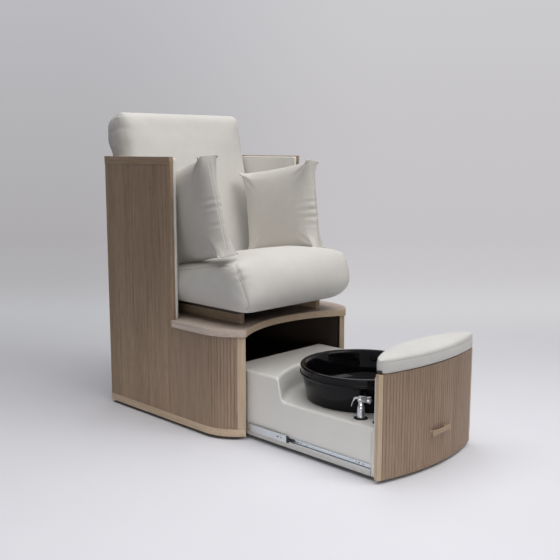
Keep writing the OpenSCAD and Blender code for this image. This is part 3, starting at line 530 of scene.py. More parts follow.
def inflate(piece, held, cap):  # blows the piece up like a filled cover, by no more than cap
    look = coverLook
    start = pointsOf(piece.data)
    group = piece.vertex_groups.new(name="held")
    for index in np.nonzero(held > 0.02)[0]:
        group.add([int(index)], float(held[index]), "REPLACE")
    air = piece.modifiers.new("air", "CLOTH")
    cloth = air.settings
    cloth.quality = look["quality"]
    cloth.mass = look["mass"]
    cloth.tension_stiffness = cloth.compression_stiffness = look["stiff"]
    cloth.shear_stiffness = look["shear"]
    cloth.bending_stiffness = look["bend"]
    cloth.air_damping = look["drag"]
    cloth.use_pressure = True
    cloth.uniform_pressure_force = look["pressure"]
    cloth.vertex_group_mass = "held"
    cloth.effector_weights.gravity = 0
    air.collision_settings.use_collision = False
    air.point_cache.frame_start, air.point_cache.frame_end = 1, look["frames"]
    scene = bpy.context.scene
    for step in range(look["frames"]):
        scene.frame_set(step + 1)
    graph = bpy.context.evaluated_depsgraph_get()
    blown = pointsOf(piece.evaluated_get(graph).data)
    piece.modifiers.clear()
    piece.vertex_groups.clear()
    scene.frame_set(1)
    move = blown - start
    most = float(np.linalg.norm(move, axis=1).max())
    print(piece.name, "filled out by up to", round(most * 1000, 1), "mm, kept to the cap")
    place(piece.data, start + move * (cap / max(cap, most)))


def remesh(piece, voxel, rounds):
    change = piece.modifiers.new("even", "REMESH")
    change.mode = "VOXEL"
    change.voxel_size = voxel
    mesh = loose(piece)
    place(mesh, relax(mesh, pointsOf(mesh), rounds))
    for face in mesh.polygons:
        face.use_smooth = True
    return mesh


def finished(piece, material):  # a soft piece after its seams are in
    piece.data.materials.clear()
    piece.data.materials.append(material)
    for face in piece.data.polygons:
        face.use_smooth = True
    softer = piece.modifiers.new("soft", "SUBSURF")
    softer.levels = softer.render_levels = 1


def seamTube(name, piece, path, radius=0.0009):
    thread = tube(name, laidOn(piece.data, path, 0.005), radius, seamThread)
    thread.parent = piece


def copied(name, source):
    plain = bmesh.new()
    plain.from_mesh(nodes[source].data)
    return gathered(name, plain)


def gridBlock(name, low, high, edge, step, material, shape=None):  # a block with rounded edges, as even quads
    def stations(a, b):
        span = b - a - 2 * edge
        inner = max(1, round(span / step))
        bend = [edge * (1 - math.cos(math.radians(k))) for k in (0, 30, 60)]
        middle = [edge + span * k / inner for k in range(inner + 1)]
        return [a + t for t in bend] + [a + t for t in middle] + [b - t for t in reversed(bend)]

    axes = [stations(low[k], high[k]) for k in range(3)]
    points, faces = [], []
    for axis in range(3):
        across, over = [k for k in range(3) if k != axis]
        for end in (0, -1):
            first = len(points)
            wide = len(axes[over])
            for u in axes[across]:
                for v in axes[over]:
                    point = [0, 0, 0]
                    point[axis], point[across], point[over] = axes[axis][end], u, v
                    points.append(Vector(point))
            for i in range(len(axes[across]) - 1):
                for j in range(wide - 1):
                    here = first + i * wide + j
                    faces.append((here, here + 1, here + wide + 1, here + wide))
    rounded = []
    for point in points:
        core = Vector(min(max(point[k], low[k] + edge), high[k] - edge) for k in range(3))
        out = point - core
        if out.length > 1e-9:
            point = core + out.normalized() * edge
        rounded.append(shape(point) if shape else point)
    return newPiece(name, rounded, faces, material)


seatLook = {
    "voxel": 0.0075, "evened": 14, "cap": 0.012, "foot": 0.4586, "tall": 0.17, "half": 0.292,
    "frontCrown": 0.028, "frontFrom": 0.25, "frontFade": 0.05, "topCrown": 0.008, "topFrom": -0.10,
    "topFade": 0.10, "slackCorner": (-0.014, 0.030, 0.018), "hold": 0.006,
    "frontSew": (0.0030, 0.004), "topSew": (0.0020, 0.005), "tuckSew": (0.0032, 0.004),
    "frontSeam": ((0.290, -0.328, 0.631), (0.290, -0.366, 0.573), (0.290, -0.404, 0.497),
                  (0.290, -0.393, 0.469)),
    "topSeam": ((0.300, 0.10, 0.565), (0.302, -0.036, 0.594), (0.302, -0.182, 0.623), (0.298, -0.278, 0.632),
                (0.290, -0.328, 0.631)),
    "tuck": ((0.281, -0.322, 0.634), (0.281, -0.350, 0.602), (0.283, -0.366, 0.575)),
    "frontPleats": ((0.030, 0.0022, 0.030), (0.060, 0.0018, 0.030)),
    "topPleats": ((0.10, 0.0020, 0.04), (0.19, 0.0024, 0.05), (0.26, 0.0016, 0.04)),
}


def makeSeat():
    look = seatLook
    piece = copied("seatPad", "seat_cushion")
    mesh = remesh(piece, look["voxel"], look["evened"])
    points, normals = pointsOf(mesh), normalsOf(mesh)
    x, y, z = points.T
    bow = np.sqrt(np.clip(1 - (x / look["half"]) ** 2, 0, 1))  # the panels swell between their side seams
    tall = risen(z, look["foot"], look["tall"])
    ahead = np.clip(-normals[:, 1] * 1.3 - 0.1, 0, 1) * risen(-y, look["frontFrom"], look["frontFade"])
    above = np.clip(normals[:, 2] * 1.3 - 0.1, 0, 1) * risen(-y, look["topFrom"], look["topFade"])
    push = look["frontCrown"] * (bow - 0.2) * np.sin(np.pi * tall ** 1.4) ** 0.7 * ahead
    points += normals * (push + look["topCrown"] * bow * above)[:, None]
    slack = risen(x, 0.15, 0.14) ** 2 * risen(-z, -0.59, 0.12) ** 1.5 * risen(-y, 0.24, 0.1)
    points += slack[:, None] * np.array(look["slackCorner"])  # one lower corner is filled less
    place(mesh, relax(mesh, points, 3))
    points = pointsOf(mesh)
    held = bell(points[:, 2] - look["foot"], look["hold"])
    for s in (-1, 1):
        for seam, grip in (("frontSeam", 1.0), ("topSeam", 0.8)):
            gap, _ = reach(points, laidOn(mesh, onSide(look[seam], s), 0.01))
            held = np.maximum(held, grip * bell(gap, look["hold"]))
    inflate(piece, held, look["cap"])
    place(mesh, relax(mesh, pointsOf(mesh), 2))
    for s in (-1, 1):
        sew(mesh, laidOn(mesh, onSide(look["frontSeam"], s)), *look["frontSew"], look["frontPleats"])
        sew(mesh, laidOn(mesh, onSide(look["topSeam"], s)), *look["topSew"], look["topPleats"])
        sew(mesh, laidOn(mesh, onSide(look["tuck"], s)), *look["tuckSew"])
    settle(piece, "cabinet", "leatherette", "seat_cushion")
    finished(piece, cushionSkin)
    for side, s in (("Left", -1), ("Right", 1)):
        seamTube("seatSeamFront" + side, piece, onSide(look["frontSeam"], s))
        seamTube("seatSeamTop" + side, piece, onSide(look["topSeam"], s))


backLook = {
    "voxel": 0.008, "cap": 0.012, "lean": math.radians(14), "foot": (0, 0.241, 0.4583), "middle": -0.066,
    "front": -0.118, "rear": -0.012, "evened": 16, "hold": 0.006, "swell": 0.009, "swellFrom": 0.50,
    "swellTo": 0.71, "tip": 0.30, "tipWide": 0.030, "sew": (0.0018, 0.0045), "pinch": (0.0040, 0.006),
    "seam": ((-0.311, 0.02), (-0.311, 0.54), (-0.316, 0.60), (-0.316, 0.69), (-0.300, 0.713), (0, 0.716),
             (0.300, 0.713), (0.316, 0.69), (0.316, 0.60), (0.311, 0.54), (0.311, 0.02)),
    "pleats": ((0.62, 0.0024, 0.05), (0.66, 0.0020, 0.04), (0.72, 0.0022, 0.04), (1.28, 0.0020, 0.04),
               (1.33, 0.0018, 0.05)),
}


def makeBack():
    look = backLook
    piece = copied("backPad", "back_cushion")
    mesh = remesh(piece, look["voxel"], look["evened"])
    rise, run = math.cos(look["lean"]), math.sin(look["lean"])
    foot, middle = Vector(look["foot"]), look["middle"]

    def at(x, depth, up):  # a place on the cushion by its own leaning measures
        return foot + Vector((x, depth * rise + up * run, -depth * run + up * rise))

    ring = [at(x, middle, up) for x, up in look["seam"]]
    points = pointsOf(mesh)
    gap, _ = reach(points, laidOn(mesh, ring, 0.012))
    inflate(piece, bell(gap, look["hold"]), look["cap"])
    points, normals = relax(mesh, pointsOf(mesh), 2), normalsOf(mesh)
    up = (points - np.array(foot)) @ np.array((0, run, rise))
    swell = risen(up, look["swellFrom"], 0.06) * risen(-up, -look["swellTo"], 0.12)
    outward = np.clip(normals[:, 1] + np.abs(normals[:, 0]) * 0.6, 0, 1)
    points += normals * (look["swell"] * swell * outward)[:, None]  # it swells over the arms and to the rear
    for s in (-1, 1):  # each top corner is drawn out to a soft point
        corner = np.array(at(s * 0.316, look["front"], 0.713))
        gap = np.linalg.norm(points - corner, axis=1)
        points += (corner - points) * (look["tip"] * bell(gap, look["tipWide"]))[:, None]
    place(mesh, points)
    sew(mesh, laidOn(mesh, ring), *look["sew"], look["pleats"])
    across = ((0.314, look["front"], 0.706), (0.316, middle, 0.713), (0.314, look["rear"], 0.706))
    for s in (-1, 1):  # pinched over each top corner
        sew(mesh, laidOn(mesh, [at(*spot) for spot in onSide(across, s)]), *look["pinch"])
    settle(piece, "cabinet", "leatherette", "back_cushion")
    finished(piece, cushionSkin)
    seamTube("backSeam", piece, ring)


pillowLook = {
    "half": {"left": 0.1815, "right": 0.1765}, "edge": 0.044, "middle": 0.052, "step": 0.0065, "round": 0.34,
    "corner": 0.05, "ear": 0.0015, "pullSide": 0.002, "pullEnd": 0.006, "cap": 0.007, "tip": 0.008,
    "crownPower": 2.2, "earPower": 8, "evened": 12, "cornerKeep": 0.75, "cornerWide": 0.014, "hold": 0.006,
    "crossHold": 0.010, "sew": (0.0020, 0.0035), "crossSew": (0.0016, 0.004), "crease": (0.0032, 0.008),
    "pleats": {
        "left": ((0.858, 0.0030, 0.045), (0.884, 0.0034, 0.055), (0.948, 0.0026, 0.040),
                 (0.80, 0.0012, 0.030), (1.01, 0.0014, 0.030), (0.60, 0.0016, 0.03)),
        "right": ((0.190, 0.0026, 0.040), (0.158, 0.0030, 0.050), (0.128, 0.0030, 0.045),
                  (0.096, 0.0022, 0.035), (0.250, 0.0014, 0.030), (0.62, 0.0014, 0.03)),
    },
}


def makePillow(name, side, tilt, swing, roll):  # made upright on its own centre, then stood in its corner
    look = pillowLook
    node = "cushion_" + side
    low, high = (Vector(c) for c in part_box(node))
    turn = Euler([math.radians(a) for a in (-tilt, roll, math.copysign(swing, roll))])
    stand = Matrix.Translation((low + high) / 2) @ turn.to_matrix().to_4x4()
    half, edge, middle = look["half"][side], look["edge"], look["middle"]

    def shape(point):
        a, b, c = point
        crown = (1 - abs(a) ** look["crownPower"]) * (1 - abs(c) ** look["crownPower"])
        thick = edge + (middle - edge) * crown
        sideRound = look["corner"] + look["round"] * (1 - c ** 4)  # boxed corners, round sides between them
        endRound = look["corner"] + look["round"] * (1 - a ** 4)
        pullSide = math.copysign(abs(a) ** 5, a) * look["pullSide"] * (1 - c * c)
        pullEnd = math.copysign(abs(c) ** 5, c) * look["pullEnd"] * (1 - a * a)
        x = a * half * math.sqrt(1 - sideRound * b * b) - pullSide
        z = c * half * math.sqrt(1 - endRound * b * b) - pullEnd
        y = b * thick * math.sqrt((1 - sideRound * a * a) * (1 - endRound * c * c))
        ear = look["ear"] * (abs(a) * abs(c)) ** look["earPower"]
        return Vector((x + math.copysign(ear, a), y, z + math.copysign(ear, c)))

    piece = gridBlock(name, (-1, -1, -1), (1, 1, 1), 0.012, look["step"] / half, pillowSkin, shape)
    mesh = piece.data
    points = pointsOf(mesh)
    signs = (-1, 1)
    corners = [(sx * half, sy * edge * 0.9, sz * half) for sx in signs for sy in signs for sz in signs]
    near = np.min([np.linalg.norm(points - np.array(corner), axis=1) for corner in corners], axis=0)
    points = relax(mesh, points, look["evened"], look["cornerKeep"] * bell(near, look["cornerWide"]))
    place(mesh, points)
    tip = half - look["tip"]
    ring = [(tip, 0, -tip), (half, 0, 0), (tip, 0, tip), (0, 0, half), (-tip, 0, tip), (-half, 0, 0),
            (-tip, 0, -tip), (0, 0, -half), (tip, 0, -tip)]
    crosses = [[(sx * tip, -edge, sz * tip), (sx * tip, edge, sz * tip)] for sx in signs for sz in signs]
    gap, _ = reach(points, laidOn(mesh, ring, 0.01))
    held = bell(gap, look["hold"])
    for cross in crosses:
        gap, _ = reach(points, cross)
        held = np.maximum(held, bell(gap, look["crossHold"]))
    inflate(piece, held, look["cap"])
    place(mesh, relax(mesh, pointsOf(mesh), 1))
    sew(mesh, laidOn(mesh, ring), *look["sew"], look["pleats"][side])
    for cross in crosses:
        sew(mesh, laidOn(mesh, cross), *look["crossSew"])
    for sx, sz, sy in [(sx, sz, sy) for sx in signs for sz in signs for sy in signs]:
        begin = (sx * half * 0.97, sy * edge, sz * half * 0.97)
        end = (sx * half * 0.55, sy * middle, sz * half * (0.62 if sx > 0 else 0.5))
        crease(mesh, begin, end, *look["crease"])
    mesh.transform(stand)
    settle(piece, "loose_cushion_" + side, "leatherette", node)
    finished(piece, pillowSkin)
    seamTube(name + "Seam", piece, [stand @ Vector(p) for p in ring], 0.0007)


liningLook = {"crown": 0.004, "edge": 0.006, "step": 0.012, "ripple": 0.0006}


def makeLining(side):
    look = liningLook
    s = -1 if side == "left" else 1
    low, high = (Vector(c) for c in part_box("arm_lining_" + side))

    def shape(point):
        u = (point.y - low.y) / (high.y - low.y) * 2 - 1
        v = (point.z - low.z) / (high.z - low.z) * 2 - 1
        inside = (high.x - point.x if s < 0 else point.x - low.x) / (high.x - low.x)
        swell = (1 - inside) * (1 - u ** 6) * (1 - v ** 6)
        ripple = look["ripple"] * math.sin(point.y * 31 + 2) * math.sin(point.z * 23) * swell
        return Vector((point.x - s * (look["crown"] * swell + ripple), point.y, point.z))

    piece = gridBlock("armPad" + side.title(), low, high, look["edge"], look["step"], liningSkin, shape)
    settle(piece, "cabinet", "leatherette", "arm_lining_" + side)
    face = (high.x if s < 0 else low.x) - s * 0.002
    front, top = low.y + 0.004, high.z - 0.004
    piping = [(face, front, low.z + 0.01), (face, front, top), (face, high.y, top)]
    seamTube("armSeam" + side.title(), piece, piping, 0.0008)


padLook = {"rear": 0.477, "rearY": -1.329216, "front": 0.826, "frontY": -0.16404, "half": 0.258,
           "edge": 0.010, "crown": 0.010, "lift": 0.006, "shift": 0.007, "end": 0.020, "step": 0.008,
           "bulge": 0.0025, "seam": 0.3875, "clear": 0.002, "endCut": 0.7, "sew": (0.0010, 0.0025),
           "sewn": 48, "sewnEnd": 0.985}


def makeFootPad():
    look = padLook
    low, high = (Vector(c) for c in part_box("footrest_pad"))
    half, end, shift = look["half"], look["end"], look["shift"]

    def arcs(x):  # the bowed front and rear edges at x; the shut pad clears the platform's lipping
        return (look["frontY"] - math.sqrt(look["front"] ** 2 - x * x),
                look["rearY"] + math.sqrt(look["rear"] ** 2 - (x + shift) * (x + shift)) - look["clear"])

    def shape(point):
        x = max(-half, min(half, point.x))
        front, rear = arcs(x)
        over = max(0, abs(x) - (half - end)) / end
        cut = end * look["endCut"] * (1 - math.sqrt(max(0, 1 - over * over)))  # rounds the ends in plan
        front, rear = front + cut, rear - cut
        t = (point.y - low.y) / (high.y - low.y)
        rise = (point.z - low.z) / (high.z - low.z)
        crown = look["crown"] * rise ** 3 * (1 - (2 * t - 1) ** 4) * (1 - (x / half) ** 6)
        bulge = look["bulge"] * math.sin(math.pi * rise)
        y = front + (rear - front) * t + bulge * (2 * t - 1)
        z = point.z + crown + look["lift"] * rise * (x / half + 1) / 2
        return Vector((point.x * (1 + bulge * 0.8) + shift, y, z))

    piece = gridBlock("footPad", low, high, look["edge"], look["step"], padSkin, shape)
    mesh = piece.data
    place(mesh, relax(mesh, pointsOf(mesh), 5))
    around = []
    for side, direction in ((0, 1), (1, -1)):
        for k in range(look["sewn"] + 1):
            x = direction * half * (2 * k / look["sewn"] - 1) * look["sewnEnd"]
            around.append((x + shift, arcs(x)[side] + (0.001, -0.001)[side], look["seam"]))
    around.append(around[0])
    sew(mesh, laidOn(mesh, around), *look["sew"])
    settle(piece, "drawer", "leatherette", "footrest_pad")
    finished(piece, padSkin)
    seamTube("footPadSeam", piece, around, 0.0007)


makeSeat()
makeBack()
makePillow("loosePadLeft", "left", 5.6, 77.8, 12.5)
makePillow("loosePadRight", "right", 5.9, 81.4, -9.8)
makeLining("left")
makeLining("right")
makeFootPad()
print("soft goods made")


# Drawer deck, basin and fittings

drawerSpots = {"basin": (0, -0.672385, 0), "shower": (-0.191, -0.821385, 0), "mixer": (-0.185, -0.893385, 0)}


def byDrawer(piece, slot, *stoodFor):
    return settle(piece, "drawer", slot, *stoodFor)


deckLook = {"half": 0.246, "rear": -0.244, "front": -0.918385, "foot": 0.0135, "high": 0.250, "low": 0.170,
            "centre": -0.808385, "scoopLow": 0.379, "scoopHigh": 0.393, "edge": 0.009, "rearEdge": 0.018,
            "stepTop": 0.013, "stepFoot": 0.018, "frontEdge": 0.010, "columns": 64, "wall": 0.003,
            "holes": {"basin": 20.5, "shower": 19.8, "mixer": 19.8},
            "parts": {1: 8, 10: 22, 19: 6, 28: 30, 37: 8}, "walls": (0.97, 0.85, 0.6, 0.3, 0.0)}


def makeDeck():
    look = deckLook
    half, edge, foot = look["half"], look["edge"], look["foot"]

    def section(x):  # the deck's profile at x, from the foot of the rear wall to the foot of the front one
        top = look["centre"] + math.sqrt(look["scoopHigh"] ** 2 - x * x)
        step = look["centre"] + math.sqrt(look["scoopLow"] ** 2 - x * x)
        corners = [(look["rear"], foot, 0), (look["rear"], look["high"], look["rearEdge"]),
                   (top, look["high"], look["stepTop"]), (step, look["low"], look["stepFoot"]),
                   (look["front"], look["low"], look["frontEdge"]), (look["front"], foot, 0)]
        rounded = filleted(corners, 8)
        filled = []
        for i, here in enumerate(rounded):  # the straight runs take points too
            parts = look["parts"].get(i, 1)
            filled += [rounded[i - 1].lerp(here, k / parts) for k in range(1, parts)]
            filled.append(here)
        return filled

    def inward(path, depth):  # the path moved into the solid
        moved = []
        for i, here in enumerate(path):
            ahead = (path[min(i + 1, len(path) - 1)] - path[max(i - 1, 0)]).normalized()
            moved.append(here + Vector((ahead.y, -ahead.x)) * (-depth))
        return moved

    rows = []
    flat = half - edge
    bends = [edge * math.sin(math.radians(a)) for a in (90, 72, 54, 36, 18)]
    columns = [-(flat + bend) for bend in bends]
    columns += [-flat + 2 * flat * k / look["columns"] for k in range(look["columns"] + 1)]
    columns += [flat + bend for bend in reversed(bends)]
    for x in columns:
        over = max(0, abs(x) - flat)
        depth = edge - math.sqrt(max(0, edge ** 2 - over ** 2))
        rows.append([Vector((x, p.x, max(p.y, foot))) for p in inward(section(x), depth)])
    for s, row in ((-1, rows[0]), (1, rows[-1])):
        down = [[Vector((s * half, p.y, foot + (p.z - foot) * t)) for p in row] for t in look["walls"]]
        rows = list(reversed(down)) + rows if s < 0 else rows + down
    points, faces = stitched(rows)
    piece = newPiece("deckShell", points, faces, deckGel)
    thick = piece.modifiers.new("wall", "SOLIDIFY")
    thick.thickness = look["wall"]
    thick.offset = -1
    drills = []
    for spot, radius in look["holes"].items():
        column = [(0, 150, 0), (radius, 150, 0), (radius, 190, 0), (0, 190, 0)]
        drills.append(turned("drill", column, drawerSpots[spot], deckGel, segments=48))
    for drill in drills:
        hole = piece.modifiers.new("hole", "BOOLEAN")
        hole.operation = "DIFFERENCE"
        hole.object = drill
    loose(piece)
    for drill in drills:
        bpy.data.objects.remove(drill)
    for face in piece.data.polygons:
        face.use_smooth = True
    byDrawer(piece, "white_moulding", "deck_moulding")


basinLook = {  # corners as radius, height and fillet, in millimetres
    "outside": [(20.4, 170.2, 0), (195, 170.2, 5), (210.5, 256, 6), (214, 259.5, 2), (218.6, 260.5, 1.5),
                (219.0, 264.5, 1.8), (215.6, 266.6, 1.5), (215.8, 279, 4), (217.6, 286.5, 3), (214.5, 289, 3),
                (201, 288.6, 5), (196, 283, 5), (182.6, 222, 6)],
    "bend": (146, 218, 36),
    "floor": [(90, 182, 0), (40, 181.8, 0), (20.4, 181.6, 0), (20.4, 170.2, 0)],
    "waste": [(16.8, 174.5, 0), (16.8, 184, 0.6), (19, 184.3, 0.8), (26, 183.6, 2), (33, 182.5, 0.8),
              (32.6, 182.0, 0), (20, 181.4, 0), (20, 124.2, 0), (13.6, 124.2, 0), (13.6, 174.5, 0),
              (16.8, 174.5, 0)],
    "nut": [(20, 156, 0), (25, 156, 1), (25, 165.5, 1), (20, 165.5, 0)],
    "plug": [(0, 174.2, 0), (16, 174.2, 1), (16, 184.4, 0), (21.9, 184.6, 0.5), (21.8, 187, 1.5),
             (11, 190.2, 4), (5.5, 190.5, 1), (4.5, 189.6, 0.5), (0, 189.4, 0)],
    "cap": [(0, 3.9, 0), (4, 3.9, 0.5), (4.6, 3.1, 0.4), (7.4, 3.1, 0.4), (8.2, 4.1, 0.6), (11.5, 3.9, 1.2),
            (14, 2, 1), (14, 0.9, 0.2), (6.6, 0.9, 0), (6.6, -2.4, 0), (0, -2.4, 0)],
    "capTurn": math.radians(26), "capSlope": math.radians(11.6), "capOut": 0.1908, "capHeight": 0.264,
}


def makeBasin():
    look = basinLook
    spot = drawerSpots["basin"]
    centre, height, radius = look["bend"]
    bends = [math.radians(a) for a in range(10, 91, 8)]
    bowl = [(centre + radius * math.cos(a), height - radius * math.sin(a), 0) for a in bends]
    basin = turned("footBasin", look["outside"] + bowl + look["floor"], spot, bowlGloss, segments=160)
    byDrawer(basin, "black_basin", "basin")
    waste = turned("wasteFlange", look["waste"], spot, chromePlate)
    nut = turned("wasteNut", look["nut"], spot, nickelPlate, segments=8)
    byDrawer(waste, "chrome", "basin_waste")
    byDrawer(nut, "chrome")
    plug = turned("plugCap", look["plug"], spot, chromePlate, segments=72)
    settle(plug, "drain_plug", "chrome", "drain_plug")
    radial = Vector((math.cos(look["capTurn"]), math.sin(look["capTurn"]), 0))
    axis = radial * -math.cos(look["capSlope"]) + Vector((0, 0, math.sin(look["capSlope"])))
    seat = Vector(spot) + radial * look["capOut"] + Vector((0, 0, look["capHeight"]))
    cover = turned("overflowCap", look["cap"], seat, bowlGloss, axis, 64)
    byDrawer(cover, "black_basin", "overflow_cover")


def makeGrommets():
    for name, node, spot, bore in (("showerRing", "shower_grommet", "shower", 11.35),
                                   ("mixerRing", "mixer_grommet", "mixer", 10.35)):
        ring = turned(name, [(bore, 166, 0), (bore, 172.9, 0.4), (16.8, 172.95, 1), (18.2, 172.2, 0.8),
                             (22.4, 172.4, 1.6), (23.5, 170.2, 0.4), (19.4, 170.05, 0), (19.4, 166, 0),
                             (bore, 166, 0)], drawerSpots[spot], blackRing, segments=72)
        byDrawer(ring, "black_rubber", node)


showerLook = {
    "height": 0.234, "turn": math.radians(-40), "droop": 0.16, "hinge": -0.021,
    "stem": [(0, 149.2, 0), (9, 149.2, 0.6), (10.9, 151, 1), (10.9, 172.9, 0), (14.2, 173.4, 0.4),
             (14.2, 177, 0.8), (13.4, 177.8, 0.4), (13.2, 194, 0.5), (13.7, 194.6, 0.3), (13.7, 197, 0.6),
             (12.9, 197.6, 0.3), (12.4, 207.6, 3), (10.2, 214.5, 3), (9.2, 221, 1), (9.8, 226, 1),
             (8, 232, 0), (0, 232, 0)],
    "head": [(0, -13, 0), (7, -12.8, 2), (11.6, -9, 4), (12.2, -2, 2), (12.2, 14, 1.2), (10.9, 15.6, 0.6),
             (10.9, 17.4, 0.6), (12.4, 19, 0.8), (13.4, 27.5, 2), (13.4, 30.6, 0.7), (11.6, 30.9, 0.4),
             (11.3, 29.6, 0.2), (0, 29.6, 0)],
    "rose": [(0, 30.5, 0), (8, 30.3, 1), (11.1, 29.7, 0), (10.5, 29.2, 0), (0, 29.2, 0)],
    "nozzles": ((0.0, 1), (3.4, 6), (6.6, 12), (9.3, 18)), "nozzleOut": 0.0304,
    "cheek": [(0, 1.9, 0), (2.8, 1.9, 0.2), (3, 4.2, 0.6), (1.6, 4.6, 0.5), (0, 4.3, 0)],
    "ear": ((-0.0205, -0.0015, -0.0016), (-0.0065, 0.0015, 0.0055)),
    "lever": {"rings": 14, "start": -0.0205, "top": 0.0015, "out": 0.0075, "bow": 0.0015, "drop": 0.028,
              "thick": 0.0022, "thin": 0.45, "wide": 0.0045, "narrow": 0.12},
}


def swept(name, rings, material):  # a closed bar through rings of points, with flat ends
    points, faces = stitched(rings, True)
    sides = len(rings[0])
    faces += [tuple(range(sides)), tuple(reversed(range(len(points) - sides, len(points))))]
    return newPiece(name, points, faces, material)


def softCircle(sides, power, sidePower):  # points of a circle pulled towards a square
    circle = [(math.cos(math.tau * j / sides), math.sin(math.tau * j / sides)) for j in range(sides)]
    return [(math.copysign(abs(c) ** power, c), math.copysign(abs(s) ** sidePower, s)) for c, s in circle]


def disc(made, spot, foot, top, depth, segments):
    bmesh.ops.create_cone(made, cap_ends=True, segments=segments, radius1=foot, radius2=top, depth=depth,
                          matrix=spot)


def makeShower():
    look = showerLook
    spot = Vector(drawerSpots["shower"])
    stem = turned("showerStem", look["stem"], spot, chromePlate, segments=72)
    settle(stem, "hand_shower", "chrome", "hand_shower")
    c, s = math.cos(look["turn"]), math.sin(look["turn"])
    axis = Vector((c, s, -look["droop"])).normalized()
    side = Vector((-s, c, 0))
    up = axis.cross(side)
    centre = spot + Vector((0, 0, look["height"]))

    def local(point):  # along the head, across it, up
        return centre + axis * point[0] + side * point[1] + up * point[2]

    head = turned("showerHead", look["head"], centre, chromePlate, axis, 72)
    settle(head, "hand_shower", "chrome")
    rose = turned("showerRose", look["rose"], centre, blackPlasticAndShade, axis, 48)
    settle(rose, "hand_shower", "black_plastic")
    nozzles = bmesh.new()
    ahead = Vector((0, 0, 1)).rotation_difference(axis).to_matrix().to_4x4()
    for radius, count in look["nozzles"]:
        for k in range(count):
            turn = math.tau * k / count
            out = (side * math.cos(turn) + up * math.sin(turn)) * (radius * mm)
            tip = centre + axis * look["nozzleOut"] + out
            disc(nozzles, Matrix.Translation(tip) @ ahead, 0.00055, 0.00035, 0.001, 8)
    settle(gathered("showerNozzles", nozzles, nickelPlate), "hand_shower", "chrome")
    ear = gridBlock("showerEar", *look["ear"], 0.0007, 0.003, chromePlate, local)
    settle(ear, "hand_shower", "chrome")
    rings = []
    hang = look["lever"]
    for k in range(hang["rings"] + 1):  # the lever hangs down and thins out
        t = k / hang["rings"]
        lean = hang["start"] - hang["out"] * t ** 0.8 - hang["bow"] * math.sin(math.pi * t)
        drop = hang["top"] - hang["drop"] * t
        thick = hang["thick"] * (1 - hang["thin"] * t)
        wide = hang["wide"] * (1 - hang["narrow"] * t)
        rings.append([local((lean + thick * c, wide * s, drop)) for c, s in softCircle(20, 0.6, 0.5)])
    lever = swept("showerLever", rings, chromePlate)
    settle(lever, "shower_trigger", "chrome", "shower_trigger")
    for name, s in (("leverCheekA", -1), ("leverCheekB", 1)):  # round the hinge
        cheek = turned(name, look["cheek"], centre + axis * look["hinge"], chromePlate, side * s, 32)
        settle(cheek, "shower_trigger", "chrome")


mixerLook = {
    "base": [(0, 149.2, 0), (8.5, 149.2, 0.5), (9.9, 151, 0.8), (9.9, 176, 0.5), (10.4, 177, 0.4),
             (10.4, 180, 0.6), (9.7, 181, 0.4), (9.9, 205.4, 0.8), (6, 206.6, 0.5), (6, 218.8, 0.4),
             (0, 219, 0)],
    "cap": [(6.3, 207.4, 0), (9.8, 207.4, 0.5), (10, 214, 1), (9.2, 222, 3), (5, 224.2, 3), (0, 224.4, 0)],
    "turn": math.radians(45), "rings": 16, "height": 0.2218, "start": 0.006, "long": 0.037, "wide": 0.0042,
    "thick": 0.0024, "rise": 0.001,
}


def makeMixer():
    look = mixerLook
    spot = drawerSpots["mixer"]
    body = turned("mixerBase", look["base"], spot, chromePlate, segments=64)
    byDrawer(body, "chrome", "mixer_body")
    cap = turned("mixerCap", look["cap"], spot, chromePlate, segments=64)
    settle(cap, "mixer_lever", "chrome", "mixer_lever")
    ahead = Vector((math.cos(look["turn"]), math.sin(look["turn"]), 0))
    across = Vector((-ahead.y, ahead.x, 0))
    rings = []
    for k in range(look["rings"] + 1):
        t = k / look["rings"]
        wide = look["wide"] * (0.75 + 0.35 * math.sin(math.pi * min(1, t * 1.02)) * t)
        thick = look["thick"] * (1 - 0.25 * t)
        if k in (0, look["rings"]):
            wide, thick = wide * 0.5, thick * 0.5
        middle = Vector(spot) + ahead * (look["start"] + look["long"] * t)
        rings.append([middle + across * (wide * math.cos(a))
                      + Vector((0, 0, look["height"] + look["rise"] * t + thick * math.sin(a)))
                      for a in (math.tau * j / 16 for j in range(16))])
    settle(swept("mixerBlade", rings, chromePlate), "mixer_lever", "chrome")


gripLook = {"half": 0.049, "waist": 0.0080, "end": 0.0120, "z": 0.127, "y": -1.0045, "thick": 0.0036,
            "post": 0.040, "bow": 0.0015, "rounding": 0.07, "rings": 40}


def makeGrip():
    look = gripLook
    rings = []
    for k in range(look["rings"] + 1):
        x = look["half"] * math.sin((2 * k / look["rings"] - 1) * math.pi / 2)
        u = abs(x) / look["half"]
        tall = look["waist"] + (look["end"] - look["waist"]) * u ** 2.2
        close = math.sqrt(max(0.0, 1 - max(0, (u - 0.93) / look["rounding"]) ** 2)) * 0.75 + 0.25
        y = look["y"] + look["bow"] * u ** 2
        rings.append([Vector((x, y + look["thick"] * close * c, look["z"] + tall * (0.6 + 0.4 * close) * s))
                      for c, s in softCircle(28, 0.65, 0.65)])
    byDrawer(swept("gripBow", rings, oakGrip), "light_oak", "pull_handle")
    front = padLook["frontY"] - math.sqrt(padLook["front"] ** 2 - look["post"] ** 2)  # the front panel's face
    long = (front - look["y"]) / mm
    waisted = [(0, 0, 0), (6, 0, 1), (5.6, long * 0.4, 3), (6.4, long * 0.8, 1), (8, long - 0.2, 0.3),
               (8, long + 1, 0), (0, long + 1, 0)]
    for name, s in (("gripPostLeft", -1), ("gripPostRight", 1)):
        spot = (s * look["post"], look["y"], look["z"])
        byDrawer(turned(name, waisted, spot, oakGrip, (0, 1, 0), 40), "light_oak")


